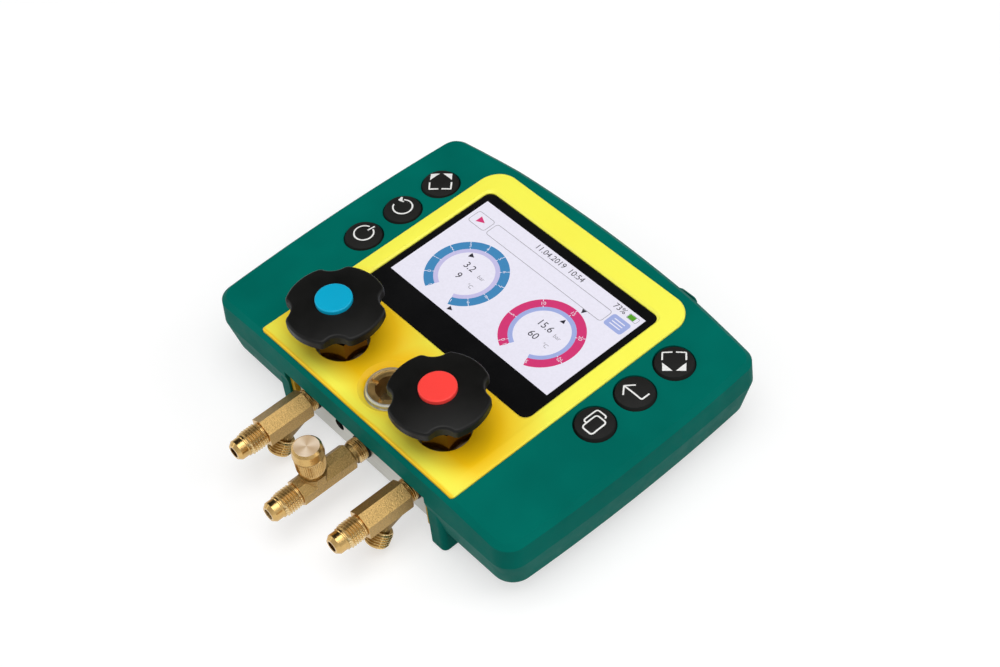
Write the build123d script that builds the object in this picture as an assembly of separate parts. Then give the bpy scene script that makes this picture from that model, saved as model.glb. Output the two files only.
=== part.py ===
from build123d import *
import os
from math import cos, radians, sin, sqrt, tan

# Refrigerant manifold gauge, built in millimetres.
# It lies on its back: +Z out of the face, +Y towards the top of the screen, the hose fittings point
# along -Y, and +X runs from the low side (blue) to the high side (red). The origin is on the plane
# that the back rests on, in the middle of the housing.

# ---------------------------------------------------------------- housing
half_width = 98.3           # middle of a side to the centre line, at the joint of the shells
front_y = -72.9             # middle of the lip over the fittings
back_y = 73.9               # middle of the back edge
side_bow = 2.4              # how far each edge of the outline swells between its corners
front_bow = 0.3
back_bow = 6.2
front_corner_r = 10.0
back_corner_r = 8.5
face_z = 46.0               # top of the yellow panel
panel_proud = 1.1           # yellow panel over the green frame
wing_fall = 3.0             # drop of the green face from its flat middle to its sides
flat_half = 55.0            # half width of that flat middle
crown_blend_r = 60.0
split_z = 29.0              # joint between front frame and rear shell
wing_back_z = 12.0          # back of the shallow wings
wall = 2.5
plate = 3.5                 # thickness of the frame's face
lip_bottom_z = 29.6         # lower edge of the frame over the fittings
bevel = 2.3                 # bevel round the face
lip_width = 2.8             # green lip in front of the panel
frame_taper = 3.0           # degrees, the frame's sides
rear_taper = 10.8           # degrees, the rear shell's sides
rear_round = 2.5
fit_gap = 0.15              # clearance of a cover or panel in its recess

# ---------------------------------------------------------------- yellow panel and display
panel_inset = 36.2          # side of the housing to the side of the panel
panel_back_y = 65.0
panel_back_r = 11.0
panel_front_r = 1.5
panel_thick = 2.5
panel_edge_round = 0.6
ledge = 3.0                 # width of the step that carries the panel
valley_depth = 2.0          # dished hollow round the valves
valley_r = 72.0
valley_half_length = 40.0
panel_rim = 8.4             # panel beside the window
window_back_y = 52.6
window_front_y = -24.0
window_corner_r = 4.0
window_lap = 2.5            # glass behind the panel's rim
rim_thick = 1.5             # panel over the glass
rim_bevel = 0.9
glass_thick = 2.0
lcd_inset = 1.7             # screen inside the window's sides
lcd_half_y = 31.0
lcd_centre_y = 19.5
lcd_thick = 3.0

# ---------------------------------------------------------------- buttons
button_inset = 24.4         # side of the housing to the middle of the buttons
button_mid_y = 17.8
button_pitch = 22.4
button_r = 8.1
button_flare = 0.7          # growth of its radius towards the frame
button_top_z = 45.0
button_dome = 0.6
button_gap = 0.3
button_travel = 1.0
button_flange = 1.6         # retaining flange behind the face
flange_thick = 1.2
post_r = 3.0
key_board_thick = 1.6
shield_side = 32.0
shield_height = 3.0
chip_side = 12.0
chip_height = 2.2
switch_side = 6.0
switch_height = 2.0

# ---------------------------------------------------------------- manifold block and valves
cradle_cheek = 2.9          # room for the cradle between block and leg
cradle_setback = 5.0        # cradle's front behind the block's
block_front_y = -69.0
block_back_y = -34.0
block_bottom_z = 10.0
block_top_z = 41.0
block_edge = 0.8
valve_inset = 10.0          # side of the block to the valves
valve_y = -49.3
side_port_z = 23.5
centre_port_z = 20.0
gallery_z = 15.5
gallery_r = 2.5
seat_r = 2.4
seat_z = 20.5
piston_r = 4.95
running_gap = 0.05
piston_top_z = 31.0
piston_nose = 2.0
piston_groove = 1.6
piston_groove_deep = 1.2
piston_land = 2.0           # between its cone and its groove
bonnet_shank_r = 7.0
bonnet_flats = 20.0
bonnet_slope = 1.6          # turned chamfer on top of the hexagon
bonnet_crown_r = 8.4
bonnet_crown = 2.4
washer_thick = 1.0
washer_r = 11.8
stem_r = 3.9
valve_pitch = 1.5           # lift of the stem for one turn
valve_turns = 2.5
vent_hole_x = -15.3
vent_hole_z = 20.5
vent_hole_r = 2.8
vent_hole_depth = 9.0

# ---------------------------------------------------------------- handwheels
wheel_r = 21.5
wheel_notches = 4
notch_r = 6.5
notch_depth = 3.1
notch_round = 3.0
notch_angle = 53.0          # of the first notch, from +X
wheel_top_z = 69.9
wheel_over_bonnet = 12.9    # top of the bonnet to the top of the wheel
wheel_dome = 2.5            # fall from its middle to its rim
wheel_edge = 3.9            # height of its rim
wheel_round = 1.3
wheel_wall = 2.6
wheel_web = 3.2
hub_r = 10.0
hub_drop = 3.1              # hub below the rim
cap_disc_r = 7.9
cap_disc_proud = 1.5
cap_disc_thick = 3.0
screw_head_r = 3.5
screw_head_thick = 2.0
screw_floor = 1.0           # wheel between the stem's end and its screw's head
screw_r = 2.0

# ---------------------------------------------------------------- brass fittings
thread_r = 5.56             # 7/16-20 UNF flare thread, major radius
flare_bore_r = 2.4
flare_tip_r = 3.4
flare_nose_r = 4.6
flare_cone = 1.6            # length of the cone, then of the plain nose and of the thread
flare_nose = 3.2
flare_lead = 0.9
flare_thread = 8.6
side_tip_y = -111.0
side_flats = 12.0
side_body_end_y = -72.9
neck_r = 4.5
collar_r = 5.2
collar_length = 2.6
shank_r = 5.0
shank_length = 10.0
seal_thick = 0.8
seal_r = 5.6
branch_root_y = -79.0
branch_angle = 35.0         # degrees from straight back, leaning to the tip
branch_length = 21.0
branch_thread = 7.4
branch_neck_r = 3.7         # slim end of the arm, under the thread
branch_neck = 2.4
arm_root = 1.5              # where the arm's widest section lies, inside the bar
arm_width = 10.6            # of that section, across the bar and along it
arm_breadth = 12.5
arm_corner_r = 3.0
centre_tip_y = -118.7
centre_flats = 11.4
centre_body_end_y = -76.0
tee_y = -94.4
tee_ring_r = 5.0
tee_ring = 2.0
tee_thread = 8.6
core_r = 2.6
core_length = 9.0
pin_r = 0.75
pin_lift = 0.9
pin_travel = 0.8

# ---------------------------------------------------------------- knurled cap
cap_r = 6.9
cap_skirt_r = 6.4
cap_top_r = 6.4
cap_height = 14.7
cap_head = 5.6
cap_groove = 0.5            # turned line between head and skirt
cap_chamfer = 1.0
cap_bore_gap = 0.2
cap_seal_thick = 1.0

# ---------------------------------------------------------------- sight glass
glass_well_y = -50.6
well_r = 11.0               # opening in the yellow panel
well_flare = 3.2            # cone round the opening
sight_bore_r = 9.4
sight_ring_r = 10.6
sight_ring_inner_r = 9.4
sight_ring_height = 2.4
sight_hole_r = 6.4
sight_depth = 11.0
sight_slot = 2.0
lens_thick = 2.5

# ---------------------------------------------------------------- pressure sensors
sensor_hex = 17.0
sensor_hex_length = 6.0
sensor_r = 8.4
sensor_length = 10.0
sensor_plug_r = 4.0
sensor_plug = 5.0

# ---------------------------------------------------------------- rear shell
wing_width = 44.5           # side of the housing to the deep middle of the shell
box_front_y = -58.0
box_back_y = 67.0
box_corner_r = 8.0
leg_thick = 7.9             # the two legs beside the block
leg_front_y = -72.0
leg_round = 1.2
leg_corner_r = 2.6          # its upright corners
cheek_gap = 0.2
cradle_wall = 3.0

# ---------------------------------------------------------------- batteries and door
cell_r = 7.25
cell_length = 50.5
cell_count = 4
cell_gap = 0.4
cell_y = 12.0               # middle of the cells
contact_room = 1.6
contact_half = 5.0
pocket_wall = 2.0
door_thick = 2.0
door_recess = 0.0
door_lap = 3.0              # door beyond the pocket, at the back and sides
door_tab = 9.0              # and at the front, where its screws are
door_head = 1.0             # screw heads let into the door
door_head_z = 0.2
door_screw_reach = 4.0
door_lift = 12.0

# ---------------------------------------------------------------- electronics
board_inset = 4.2           # board inside the shell's deep middle
board_front_y = -8.0
board_back_y = 64.0
board_z = 29.0
board_thick = 1.6
board_post_r = 3.5
board_screw_reach = 6.0
board_post_inset = 4.0
board_post_ys = (-2.0, 46.0)
usb_inset = 0.6             # middle of the socket inside the board's side
usb_width = 9.0
usb_height = 3.2
usb_length = 7.5
usb_cover_width = 11.5
usb_cover_bottom_z = 29.5
usb_cover_top_z = 41.2
usb_cover_proud = 1.0
usb_cover_travel = 6.0

# ---------------------------------------------------------------- hanging hook
hook_y = 49.6
hook_z = 2.6                # middle of the wire
hook_wire_r = 1.6
hook_eye_r = 4.4
hook_shank = 30.0
hook_bend_r = 6.2
hook_pin_r = 2.0
hook_pin_head_r = 3.6
hook_pin_head = 0.8
hook_pin_reach = 6.0        # of the pin into the shell
hook_recess_z = 4.8
hook_room = 1.2             # clearance round the folded hook

# ---------------------------------------------------------------- screws
case_screw_r = 1.5
case_head_r = 2.9
case_head = 2.2
case_screw_reach = 9.0      # of the thread into the frame
case_boss_r = 4.4
block_screw_r = 2.0
block_screw_x = 16.0
block_screw_ys = (-54.6, -40.0)
block_screw_reach = 7.0

panel_half = half_width - panel_inset
window_half_x = panel_half - panel_rim
lcd_half_x = window_half_x - lcd_inset
button_x = half_width - button_inset
box_half = half_width - wing_width
leg_inner = box_half - leg_thick
block_half = leg_inner - cradle_cheek
valve_x = block_half - valve_inset
board_half_x = box_half - board_inset
board_post_x = board_half_x - board_post_inset
bonnet_top_z = wheel_top_z - wheel_over_bonnet
groove_z = seat_z + piston_nose + piston_land
usb_x = board_half_x - usb_inset
wheel_rim_top_z = wheel_top_z - wheel_dome
wheel_rim_bottom_z = wheel_rim_top_z - wheel_edge
hub_bottom_z = wheel_rim_bottom_z - hub_drop
cap_disc_top_z = wheel_top_z + cap_disc_proud
cap_seat_z = cap_disc_top_z - cap_disc_thick
frame_top_z = face_z - panel_proud
panel_front_y = front_y + lip_width
glass_top_z = face_z - rim_thick
glass_bottom_z = glass_top_z - glass_thick
bar_hole_gap = 0.1


# ---------------------------------------------------------------- helpers
def slab(x0, x1, y0, y1, z0, z1):
    """A plain block between two corners."""
    middle = Pos((x0 + x1) / 2, (y0 + y1) / 2, (z0 + z1) / 2)
    return middle * Box(x1 - x0, y1 - y0, z1 - z0)


def post(r, x, y, z0, z1):
    """A round bar along Z."""
    return Pos(x, y, (z0 + z1) / 2) * Cylinder(r, z1 - z0)


def bar(r, x, z, y0, y1):
    """A round bar along Y."""
    return Pos(x, (y0 + y1) / 2, z) * Rot(90, 0, 0) * Cylinder(r, y1 - y0)


def tube(r_out, r_in, x, y, z0, z1):
    """A ring about Z."""
    return post(r_out, x, y, z0, z1) - post(r_in, x, y, z0 - 1, z1 + 1)


def turned(points):
    """A solid of revolution about Z from (radius, height) points."""
    return revolve(make_face(Plane.XZ * Polyline(*points, close=True)), Axis.Z)


def prism(flats, sides, height, turn=0.0):
    """An upright bar with flat sides, standing on z = 0."""
    corner_r = flats / 2 / cos(radians(180.0 / sides))
    return extrude(RegularPolygon(corner_r, sides, rotation=turn), height)


def along_fitting(x, z, tip_y, solid):
    """Lays a solid that was built upwards from its tip along +Y, tip first."""
    return Pos(x, tip_y, z) * Rot(-90, 0, 0) * solid


def save(shape, node):
    """Writes one node, as a single solid or as a group of separate ones."""
    shape.label = node
    export_step(shape, "parts/" + node + ".step")


def group(solids):
    """Keeps alike pieces apart in one node."""
    return Compound(children=[s for piece in solids for s in piece.solids()])


# ---------------------------------------------------------------- housing outline
def outline(inset=0.0, rounder=0.0):
    """The swelling four-sided outline of the housing, or one that lies inside it."""
    widest = half_width - inset
    lowest = front_y + inset
    highest = back_y - inset
    side = widest - side_bow
    front = lowest + front_bow
    back = highest - back_bow
    middle = (front + back) / 2
    front_edge = ThreePointArc((-side, front), (0, lowest), (side, front))
    right_edge = ThreePointArc((side, front), (widest, middle), (side, back))
    back_edge = ThreePointArc((side, back), (0, highest), (-side, back))
    left_edge = ThreePointArc((-side, back), (-widest, middle), (-side, front))
    face = make_face([front_edge, right_edge, back_edge, left_edge])
    corners = face.vertices().sort_by(Axis.Y)
    face = fillet(corners[:2], front_corner_r - inset + rounder)
    corners = [v for v in face.vertices() if abs(v.Y - back) < 0.01]
    return fillet(corners, back_corner_r - inset + rounder)


def crown(top_z):
    """A block whose top is flat in the middle and falls away to both sides."""
    reach = half_width + 10.0
    edge_z = top_z - wing_fall * (reach - flat_half) / (half_width - flat_half)
    points = [(-reach, 0), (reach, 0), (reach, edge_z), (flat_half, top_z)]
    points += [(-flat_half, top_z), (-reach, edge_z)]
    profile = make_face(Plane.XZ * Polyline(*points, close=True))
    shoulders = [v for v in profile.vertices() if abs(v.Z - top_z) < 0.01]
    profile = fillet(shoulders, crown_blend_r)
    return extrude(profile, back_y - front_y + 20.0, both=True)


def crown_z(x, top_z):
    """Height of the crown's straight flank at x."""
    return top_z - wing_fall * (abs(x) - flat_half) / (half_width - flat_half)


def panel_outline(grow=0.0):
    """The yellow panel seen from the front: square front corners, round back corners."""
    length = panel_back_y - panel_front_y + 2 * grow
    face = Pos(0, (panel_back_y + panel_front_y) / 2) * Rectangle(2 * (panel_half + grow), length)
    face = fillet(face.vertices().group_by(Axis.Y)[-1], panel_back_r + grow)
    return fillet(face.vertices().group_by(Axis.Y)[0], max(panel_front_r + grow, fit_gap))


def window_outline(grow=0.0):
    """The display window seen from the front."""
    length = window_back_y - window_front_y
    face = Rectangle(2 * (window_half_x + grow), length + 2 * grow)
    return Pos(0, (window_back_y + window_front_y) / 2) * fillet(face.vertices(), window_corner_r)


def button_places():
    """Centres of the six buttons, with the node name of each."""
    names = {-1: ("button_power", "button_refresh", "button_zoom_out"),
             1: ("button_copy", "button_back", "button_zoom_in")}
    places = []
    for side in (-1, 1):
        for row in range(3):
            y = button_mid_y + (row - 1) * button_pitch
            places.append((names[side][row], side * button_x, y))
    return places


def case_screw_places():
    """The six screws that hold the two shells together."""
    side = half_width - front_corner_r
    rows = (front_y + 13.0, button_mid_y - button_pitch - 19.0, back_y - 17.0)
    return [(sx * side, y) for sx in (-1, 1) for y in rows]


button_hole_r = button_r + button_flare + button_gap
flange_r = button_hole_r + button_flange
flange_top_z = crown_z(button_x + flange_r, frame_top_z) - plate - fit_gap
key_board_top_z = flange_top_z - flange_thick - button_travel - switch_height - fit_gap
key_board_bottom_z = key_board_top_z - key_board_thick


# ---------------------------------------------------------------- front frame
def front_frame():
    height = frame_top_z + 5.0 - split_z
    narrowing = height * tan(radians(frame_taper))
    sides = loft([Pos(0, 0, split_z) * outline(), Pos(0, 0, split_z + height) * outline(narrowing)])
    shell = sides & crown(frame_top_z)
    rim = shell.edges().filter_by(Axis.Y, reverse=True)
    rim = [e for e in rim if e.center().Z > crown_z(half_width, frame_top_z) - bevel]
    shell = chamfer(rim, bevel)
    hollow = Pos(0, 0, split_z - 1) * extrude(outline(wall + narrowing / 2), height)
    shell -= hollow & crown(frame_top_z - plate)
    shell -= Pos(0, 0, face_z - panel_thick) * extrude(panel_outline(fit_gap), height)
    shell -= Pos(0, 0, split_z) * extrude(panel_outline(-ledge), height)
    for _, x, y in button_places():
        shell -= post(button_hole_r, x, y, split_z, face_z)
    for x, y in case_screw_places():
        shell += post(case_boss_r, x, y, split_z, crown_z(x, frame_top_z) - plate / 2)
        shell -= post(case_screw_r, x, y, split_z - 1, split_z + case_screw_reach + 1)
    shell -= slab(-leg_inner, leg_inner, front_y - 1, front_y + 2 * wall, split_z - 1, lip_bottom_z)
    return shell - usb_slot(fit_gap)


# ---------------------------------------------------------------- yellow panel
def front_panel():
    body = Pos(0, 0, face_z - panel_thick) * extrude(panel_outline(), panel_thick + 2)
    body = body & crown(face_z)
    rim = body.edges().filter_by(Axis.Y, reverse=True).filter_by(Axis.Z, reverse=True)
    rim = [e for e in rim if e.center().Z > face_z - panel_thick + 0.3]
    body = chamfer(rim, panel_edge_round)
    pad_half = panel_half - ledge - fit_gap
    pad_front = panel_front_y + ledge + fit_gap
    pad_back = window_front_y - window_lap - fit_gap
    pad_bottom = block_top_z + fit_gap
    body += slab(-pad_half, pad_half, pad_front, pad_back, pad_bottom, face_z - panel_thick + 0.1)
    # glass recess behind the rim, and the bevelled window
    body -= Pos(0, 0, pad_bottom - 1) * extrude(window_outline(window_lap + fit_gap),
                                                glass_top_z - pad_bottom + 1)
    opening = Pos(0, 0, pad_bottom) * extrude(window_outline(), face_z)
    top_opening = Pos(0, 0, face_z + 0.1) * window_outline(rim_bevel + 0.1)
    low_opening = Pos(0, 0, face_z - rim_bevel) * window_outline()
    body -= opening + loft([low_opening, top_opening])
    # dished hollow round the valves, with its ends rounded off by the same radius
    axis_z = face_z + valley_r - valley_depth
    body -= Pos(0, valve_y, axis_z) * Rot(0, 90, 0) * Cylinder(valley_r, 2 * valley_half_length)
    for side in (-1, 1):
        body -= Pos(side * valley_half_length, valve_y, axis_z) * Sphere(valley_r)
    for side in (-1, 1):
        body -= post(washer_r + fit_gap, side * valve_x, valve_y, pad_bottom - 1, face_z + 1)
    body -= post(well_r, 0, glass_well_y, pad_bottom - 1, face_z + 1)
    cone = Cone(well_r, well_r + well_flare, well_flare)
    body -= Pos(0, glass_well_y, face_z - valley_depth - well_flare / 2 + 0.2) * cone
    return body


def display_window():
    return Pos(0, 0, glass_bottom_z) * extrude(window_outline(window_lap), glass_thick)


def lcd_panel():
    low = glass_bottom_z - lcd_thick
    y0 = lcd_centre_y - lcd_half_y
    y1 = lcd_centre_y + lcd_half_y
    return slab(-lcd_half_x, lcd_half_x, y0, y1, low, glass_bottom_z)


# ---------------------------------------------------------------- buttons and their boards
def button(x, y):
    """A domed cap with a flared side, a retaining flange and a post to its switch."""
    foot_r = button_r + button_flare
    flange_low = flange_top_z - flange_thick
    post_low = key_board_top_z + switch_height + button_travel
    points = [(0, post_low), (post_r, post_low), (post_r, flange_low), (flange_r, flange_low),
              (flange_r, flange_top_z), (foot_r, flange_top_z), (foot_r, crown_z(x, frame_top_z) - 1),
              (button_r, button_top_z - button_dome), (0, button_top_z - button_dome)]
    body = turned(points)
    sphere_r = (button_r ** 2 + button_dome ** 2) / (2 * button_dome)
    dome = Pos(0, 0, button_top_z - sphere_r) * Sphere(sphere_r)
    body += dome & post(button_r, 0, 0, button_top_z - button_dome - 0.1, button_top_z + 1)
    return Pos(x, y, 0) * body


def key_board(side):
    """The small board under three buttons."""
    x0 = side * button_x - flange_r
    x1 = side * button_x + flange_r
    reach = button_pitch + flange_r
    return slab(x0, x1, button_mid_y - reach, button_mid_y + reach, key_board_bottom_z, key_board_top_z)


def key_switches():
    """Six tact switches, standing on the two boards."""
    half = switch_side / 2
    low = key_board_top_z
    return group(slab(x - half, x + half, y - half, y + half, low, low + switch_height)
                 for _, x, y in button_places())


# ---------------------------------------------------------------- manifold block
def manifold_block():
    body = slab(-block_half, block_half, block_front_y, block_back_y, block_bottom_z, block_top_z)
    body = chamfer(body.edges(), block_edge)
    for side in (-1, 1):
        x = side * valve_x
        body -= post(bonnet_shank_r + bar_hole_gap, x, valve_y, piston_top_z, block_top_z + 1)
        body -= post(piston_r + running_gap, x, valve_y, seat_z, piston_top_z + 1)
        body -= post(seat_r, x, valve_y, gallery_z, seat_z + 1)
        body -= bar(shank_r + bar_hole_gap, x, side_port_z, block_front_y - 1,
                    block_front_y + shank_length)
        body -= bar(flare_bore_r, x, side_port_z, block_front_y, valve_y)
        body -= bar(shank_r + bar_hole_gap, x, side_port_z, block_back_y - shank_length + 1,
                    block_back_y + 1)
        body -= bar(gallery_r / 2, x, side_port_z + 1, valve_y, block_back_y)
    body -= Pos(0, valve_y, gallery_z) * Rot(0, 90, 0) * Cylinder(gallery_r, 2 * block_half + 2)
    for side in (-1, 1):
        body -= gallery_plug(side, bar_hole_gap)
    body -= bar(shank_r + bar_hole_gap, 0, centre_port_z, block_front_y - 1,
                block_front_y + shank_length)
    body -= bar(flare_bore_r, 0, centre_port_z, block_front_y, glass_well_y)
    body -= post(gallery_r, 0, glass_well_y, gallery_z, block_top_z)
    body -= post(sight_bore_r + bar_hole_gap, 0, glass_well_y, block_top_z - sight_depth,
                 block_top_z + 1)
    body -= bar(vent_hole_r, vent_hole_x, vent_hole_z, block_front_y - 1,
                block_front_y + vent_hole_depth)
    for x, y in block_screw_places():
        body -= post(block_screw_r, x, y, block_bottom_z - 1, block_bottom_z + block_screw_reach + 1)
    return body


def gallery_plug(side, grow=0.0):
    """A plug that closes one end of the cross drilling."""
    length = 5.0
    plug = Cylinder(gallery_r + 1.5 + grow, length)
    return Pos(side * (block_half - length / 2), valve_y, gallery_z) * Rot(0, 90, 0) * plug


def block_screw_places():
    return [(sx * block_screw_x, y) for sx in (-1, 1) for y in block_screw_ys]


def block_cradle():
    """Yellow inner chassis: a cheek on each side of the block and a wall behind it."""
    inner = block_half + cheek_gap
    outer = leg_inner - cheek_gap
    back = block_back_y + cheek_gap + cradle_wall
    top = block_top_z - cheek_gap
    body = slab(-outer, outer, block_front_y + cradle_setback, back, block_bottom_z, top)
    body -= slab(-inner, inner, block_front_y - 1, block_back_y + cheek_gap, block_bottom_z - 1, top + 1)
    for side in (-1, 1):
        hole_r = sensor_hex / 2 / cos(radians(30)) + cheek_gap
        body -= bar(hole_r, side * valve_x, side_port_z, block_back_y, back + 1)
    return body


# ---------------------------------------------------------------- valves
def valve_bonnet(x):
    """Hex bonnet: threaded shank in the block, hexagon and turned crown round the stem."""
    hex_low = block_top_z + washer_thick
    hexagon = Pos(0, 0, hex_low) * prism(bonnet_flats, 6, bonnet_top_z - bonnet_crown - hex_low, 30)
    corner_r = bonnet_flats / sqrt(3)
    hex_top = bonnet_top_z - bonnet_crown
    envelope = turned([(0, hex_low), (corner_r + 1, hex_low), (corner_r + 1, hex_top - bonnet_slope),
                       (bonnet_flats / 2 - 0.5, hex_top), (0, hex_top)])
    body = hexagon & envelope
    body += post(bonnet_crown_r, 0, 0, bonnet_top_z - bonnet_crown, bonnet_top_z)
    body += post(bonnet_shank_r, 0, 0, piston_top_z, hex_low)
    lift = valve_pitch * valve_turns
    body -= post(piston_r + running_gap, 0, 0, piston_top_z - 1, piston_top_z + lift + 1)
    body -= post(stem_r + running_gap, 0, 0, piston_top_z, bonnet_top_z + 1)
    return Pos(x, valve_y, 0) * body


def valve_piston(x):
    """Sliding piston with a coned nose for the seat and a groove for its seal."""
    floor_r = piston_r - piston_groove_deep
    points = [(0, seat_z), (seat_r - 0.4, seat_z), (piston_r, seat_z + piston_nose),
              (piston_r, groove_z), (floor_r, groove_z), (floor_r, groove_z + piston_groove),
              (piston_r, groove_z + piston_groove), (piston_r, piston_top_z), (0, piston_top_z)]
    return Pos(x, valve_y, 0) * turned(points)


def piston_seal(x):
    return tube(piston_r, piston_r - piston_groove_deep, x, valve_y, groove_z, groove_z + piston_groove)


def valve_stem(x):
    top = cap_seat_z - screw_head_thick - screw_floor
    stem = post(stem_r, 0, 0, piston_top_z, top)
    stem = chamfer(stem.edges().group_by(Axis.Z)[-1], 0.6)
    stem -= post(screw_r, 0, 0, top - 9.0, top + 1)
    return Pos(x, valve_y, 0) * stem


# ---------------------------------------------------------------- handwheels
def wheel_outline(inset=0.0):
    """A disc with scalloped finger notches and blended shoulders, or one that lies inside it."""
    face = Circle(wheel_r - inset)
    centre = wheel_r - notch_depth + notch_r
    for i in range(wheel_notches):
        angle = radians(notch_angle + 360.0 * i / wheel_notches)
        face -= Pos(centre * cos(angle), centre * sin(angle)) * Circle(notch_r + inset)
    return fillet(face.vertices(), notch_round - inset / 2)


def handwheel(x):
    """Lobed wheel, domed on top and hollow underneath, with a hub on the stem."""
    rise = wheel_top_z - wheel_rim_top_z
    dome_r = (wheel_r ** 2 + rise ** 2) / (2 * rise)
    height = wheel_top_z - wheel_rim_bottom_z
    body = Pos(0, 0, wheel_rim_bottom_z) * extrude(wheel_outline(), height)
    body = body & Pos(0, 0, wheel_top_z - dome_r) * Sphere(dome_r)
    edges = [e for e in body.edges() if e.center().Z > wheel_rim_top_z - 0.5]
    body = fillet(edges, wheel_round)
    hollow = wheel_rim_top_z - wheel_web - wheel_rim_bottom_z
    body -= Pos(0, 0, wheel_rim_bottom_z - 1) * extrude(wheel_outline(wheel_wall), hollow + 1)
    body += post(hub_r, 0, 0, hub_bottom_z, wheel_rim_top_z - wheel_web + 0.5)
    body -= post(stem_r, 0, 0, hub_bottom_z - 1, cap_seat_z - screw_head_thick - screw_floor)
    body -= post(screw_r, 0, 0, hub_bottom_z - 1, cap_seat_z)
    body -= post(screw_head_r + fit_gap, 0, 0, cap_seat_z - screw_head_thick, wheel_top_z + 1)
    body -= post(cap_disc_r + fit_gap, 0, 0, cap_seat_z, wheel_top_z + 1)
    return Pos(x, valve_y, 0) * body


def wheel_cap(x):
    """The coloured disc in the middle of a handwheel."""
    disc = post(cap_disc_r, 0, 0, cap_seat_z, cap_disc_top_z)
    disc = fillet(disc.edges().group_by(Axis.Z)[-1], 0.6)
    return Pos(x, valve_y, 0) * disc


def wheel_screw(x):
    """The screw that holds the wheel on its stem."""
    head_low = cap_seat_z - screw_head_thick
    head = post(screw_head_r, 0, 0, head_low, cap_seat_z)
    head -= slab(-0.5, 0.5, -screw_head_r - 1, screw_head_r + 1, cap_seat_z - 1.2, cap_seat_z + 1)
    shaft = post(screw_r, 0, 0, head_low - 8.0, head_low)
    return Pos(x, valve_y, 0) * (head + shaft)


# ---------------------------------------------------------------- fittings
def flare_end(length):
    """A male flare end, built upwards from its tip, with a plain bar behind it."""
    s0 = flare_cone
    s1 = s0 + flare_nose
    s2 = s1 + flare_lead
    s3 = s2 + flare_thread
    points = [(flare_bore_r, 0), (flare_tip_r, 0), (flare_nose_r, s0), (flare_nose_r, s1),
              (thread_r, s2), (thread_r, s3), (neck_r, s3 + 0.5), (neck_r, length),
              (flare_bore_r, length)]
    return turned(points)


flare_length = flare_cone + flare_nose + flare_lead + flare_thread + 0.5


def fitting_root(x, z, body_end_y):
    """Collar against the block's seal, and the threaded shank in its port."""
    face = block_front_y - seal_thick
    collar = bar(collar_r, x, z, face - collar_length, face)
    neck = bar(neck_r, x, z, body_end_y, face - collar_length + 0.1)
    shank = bar(shank_r, x, z, face - 0.1, block_front_y + shank_length - 1)
    return collar + neck + shank


def side_fitting(x):
    """Forged hex bar with a flare end, and a threaded stub that leans back under it."""
    body_start = side_tip_y + flare_length
    body = along_fitting(x, side_port_z, side_tip_y, flare_end(flare_length + 1))
    length = side_body_end_y - body_start
    hexagon = prism(side_flats, 6, length, 0)
    hexagon = Rot(0, 0, 30) * hexagon
    body += along_fitting(x, side_port_z, body_start, chamfer(hexagon.edges().group_by(Axis.Z)[-1], 0.8))
    body += fitting_root(x, side_port_z, side_body_end_y)
    # the stub: a forged arm that narrows out of the bar, then a neck and a thread
    lean = Pos(x, branch_root_y, side_port_z) * Rot(180 - branch_angle, 0, 0)
    neck_low = branch_length - branch_thread
    wide = Pos(0, 0, arm_root) * RectangleRounded(arm_width, arm_breadth, arm_corner_r)
    slim = RectangleRounded(2 * branch_neck_r, 2 * branch_neck_r, branch_neck_r - fit_gap)
    body += lean * loft([wide, Pos(0, 0, neck_low - branch_neck) * slim])
    body += lean * post(branch_neck_r, 0, 0, neck_low - branch_neck - fit_gap, neck_low)
    stub = post(thread_r, 0, 0, branch_length - branch_thread, branch_length)
    stub = chamfer(stub.edges().group_by(Axis.Z)[-1], 0.9)
    body += lean * stub
    bore = bar(flare_bore_r, x, side_port_z, side_tip_y - 1, block_front_y + shank_length)
    return body - bore


def charging_fitting():
    """Eight-sided bar with a flare end and an upright tee that takes the service valve core."""
    body_start = centre_tip_y + flare_length
    z = centre_port_z
    body = along_fitting(0, z, centre_tip_y, flare_end(flare_length + 1))
    eight = prism(centre_flats, 8, centre_body_end_y - body_start, 22.5)
    eight = chamfer(eight.edges().group_by(Axis.Z)[-1], 0.8)
    body += along_fitting(0, z, body_start, eight)
    body += fitting_root(0, z, centre_body_end_y)
    ring_low = z + centre_flats / 2 + 1.0
    body += Pos(0, tee_y, z) * prism(centre_flats, 8, ring_low - z, 22.5)
    body += post(tee_ring_r, 0, tee_y, ring_low - 0.1, ring_low + tee_ring)
    top = ring_low + tee_ring + tee_thread
    tee = post(thread_r, 0, tee_y, ring_low + tee_ring, top)
    body += chamfer(tee.edges().group_by(Axis.Z)[-1], 0.8)
    body -= bar(flare_bore_r, 0, z, centre_tip_y - 1, block_front_y + shank_length)
    body -= post(core_r, 0, tee_y, top - core_length, top + 1)
    body -= post(core_r - 0.8, 0, tee_y, z, top)
    return body


tee_thread_low_z = centre_port_z + centre_flats / 2 + 1.0 + tee_ring
tee_top_z = tee_thread_low_z + tee_thread


def charging_core():
    """The service valve's core, let into the tee."""
    low = tee_top_z - core_length
    top = tee_top_z - pin_lift - 0.6
    return tube(core_r, pin_r + running_gap, 0, tee_y, low, top)


def core_pin():
    """The pin that opens the core when it is pressed."""
    low = tee_top_z - core_length - 0.8
    head_top = tee_top_z - 0.6
    pin = post(pin_r, 0, tee_y, low, head_top)
    return fillet(pin.edges().group_by(Axis.Z)[-1], 0.3)


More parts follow.
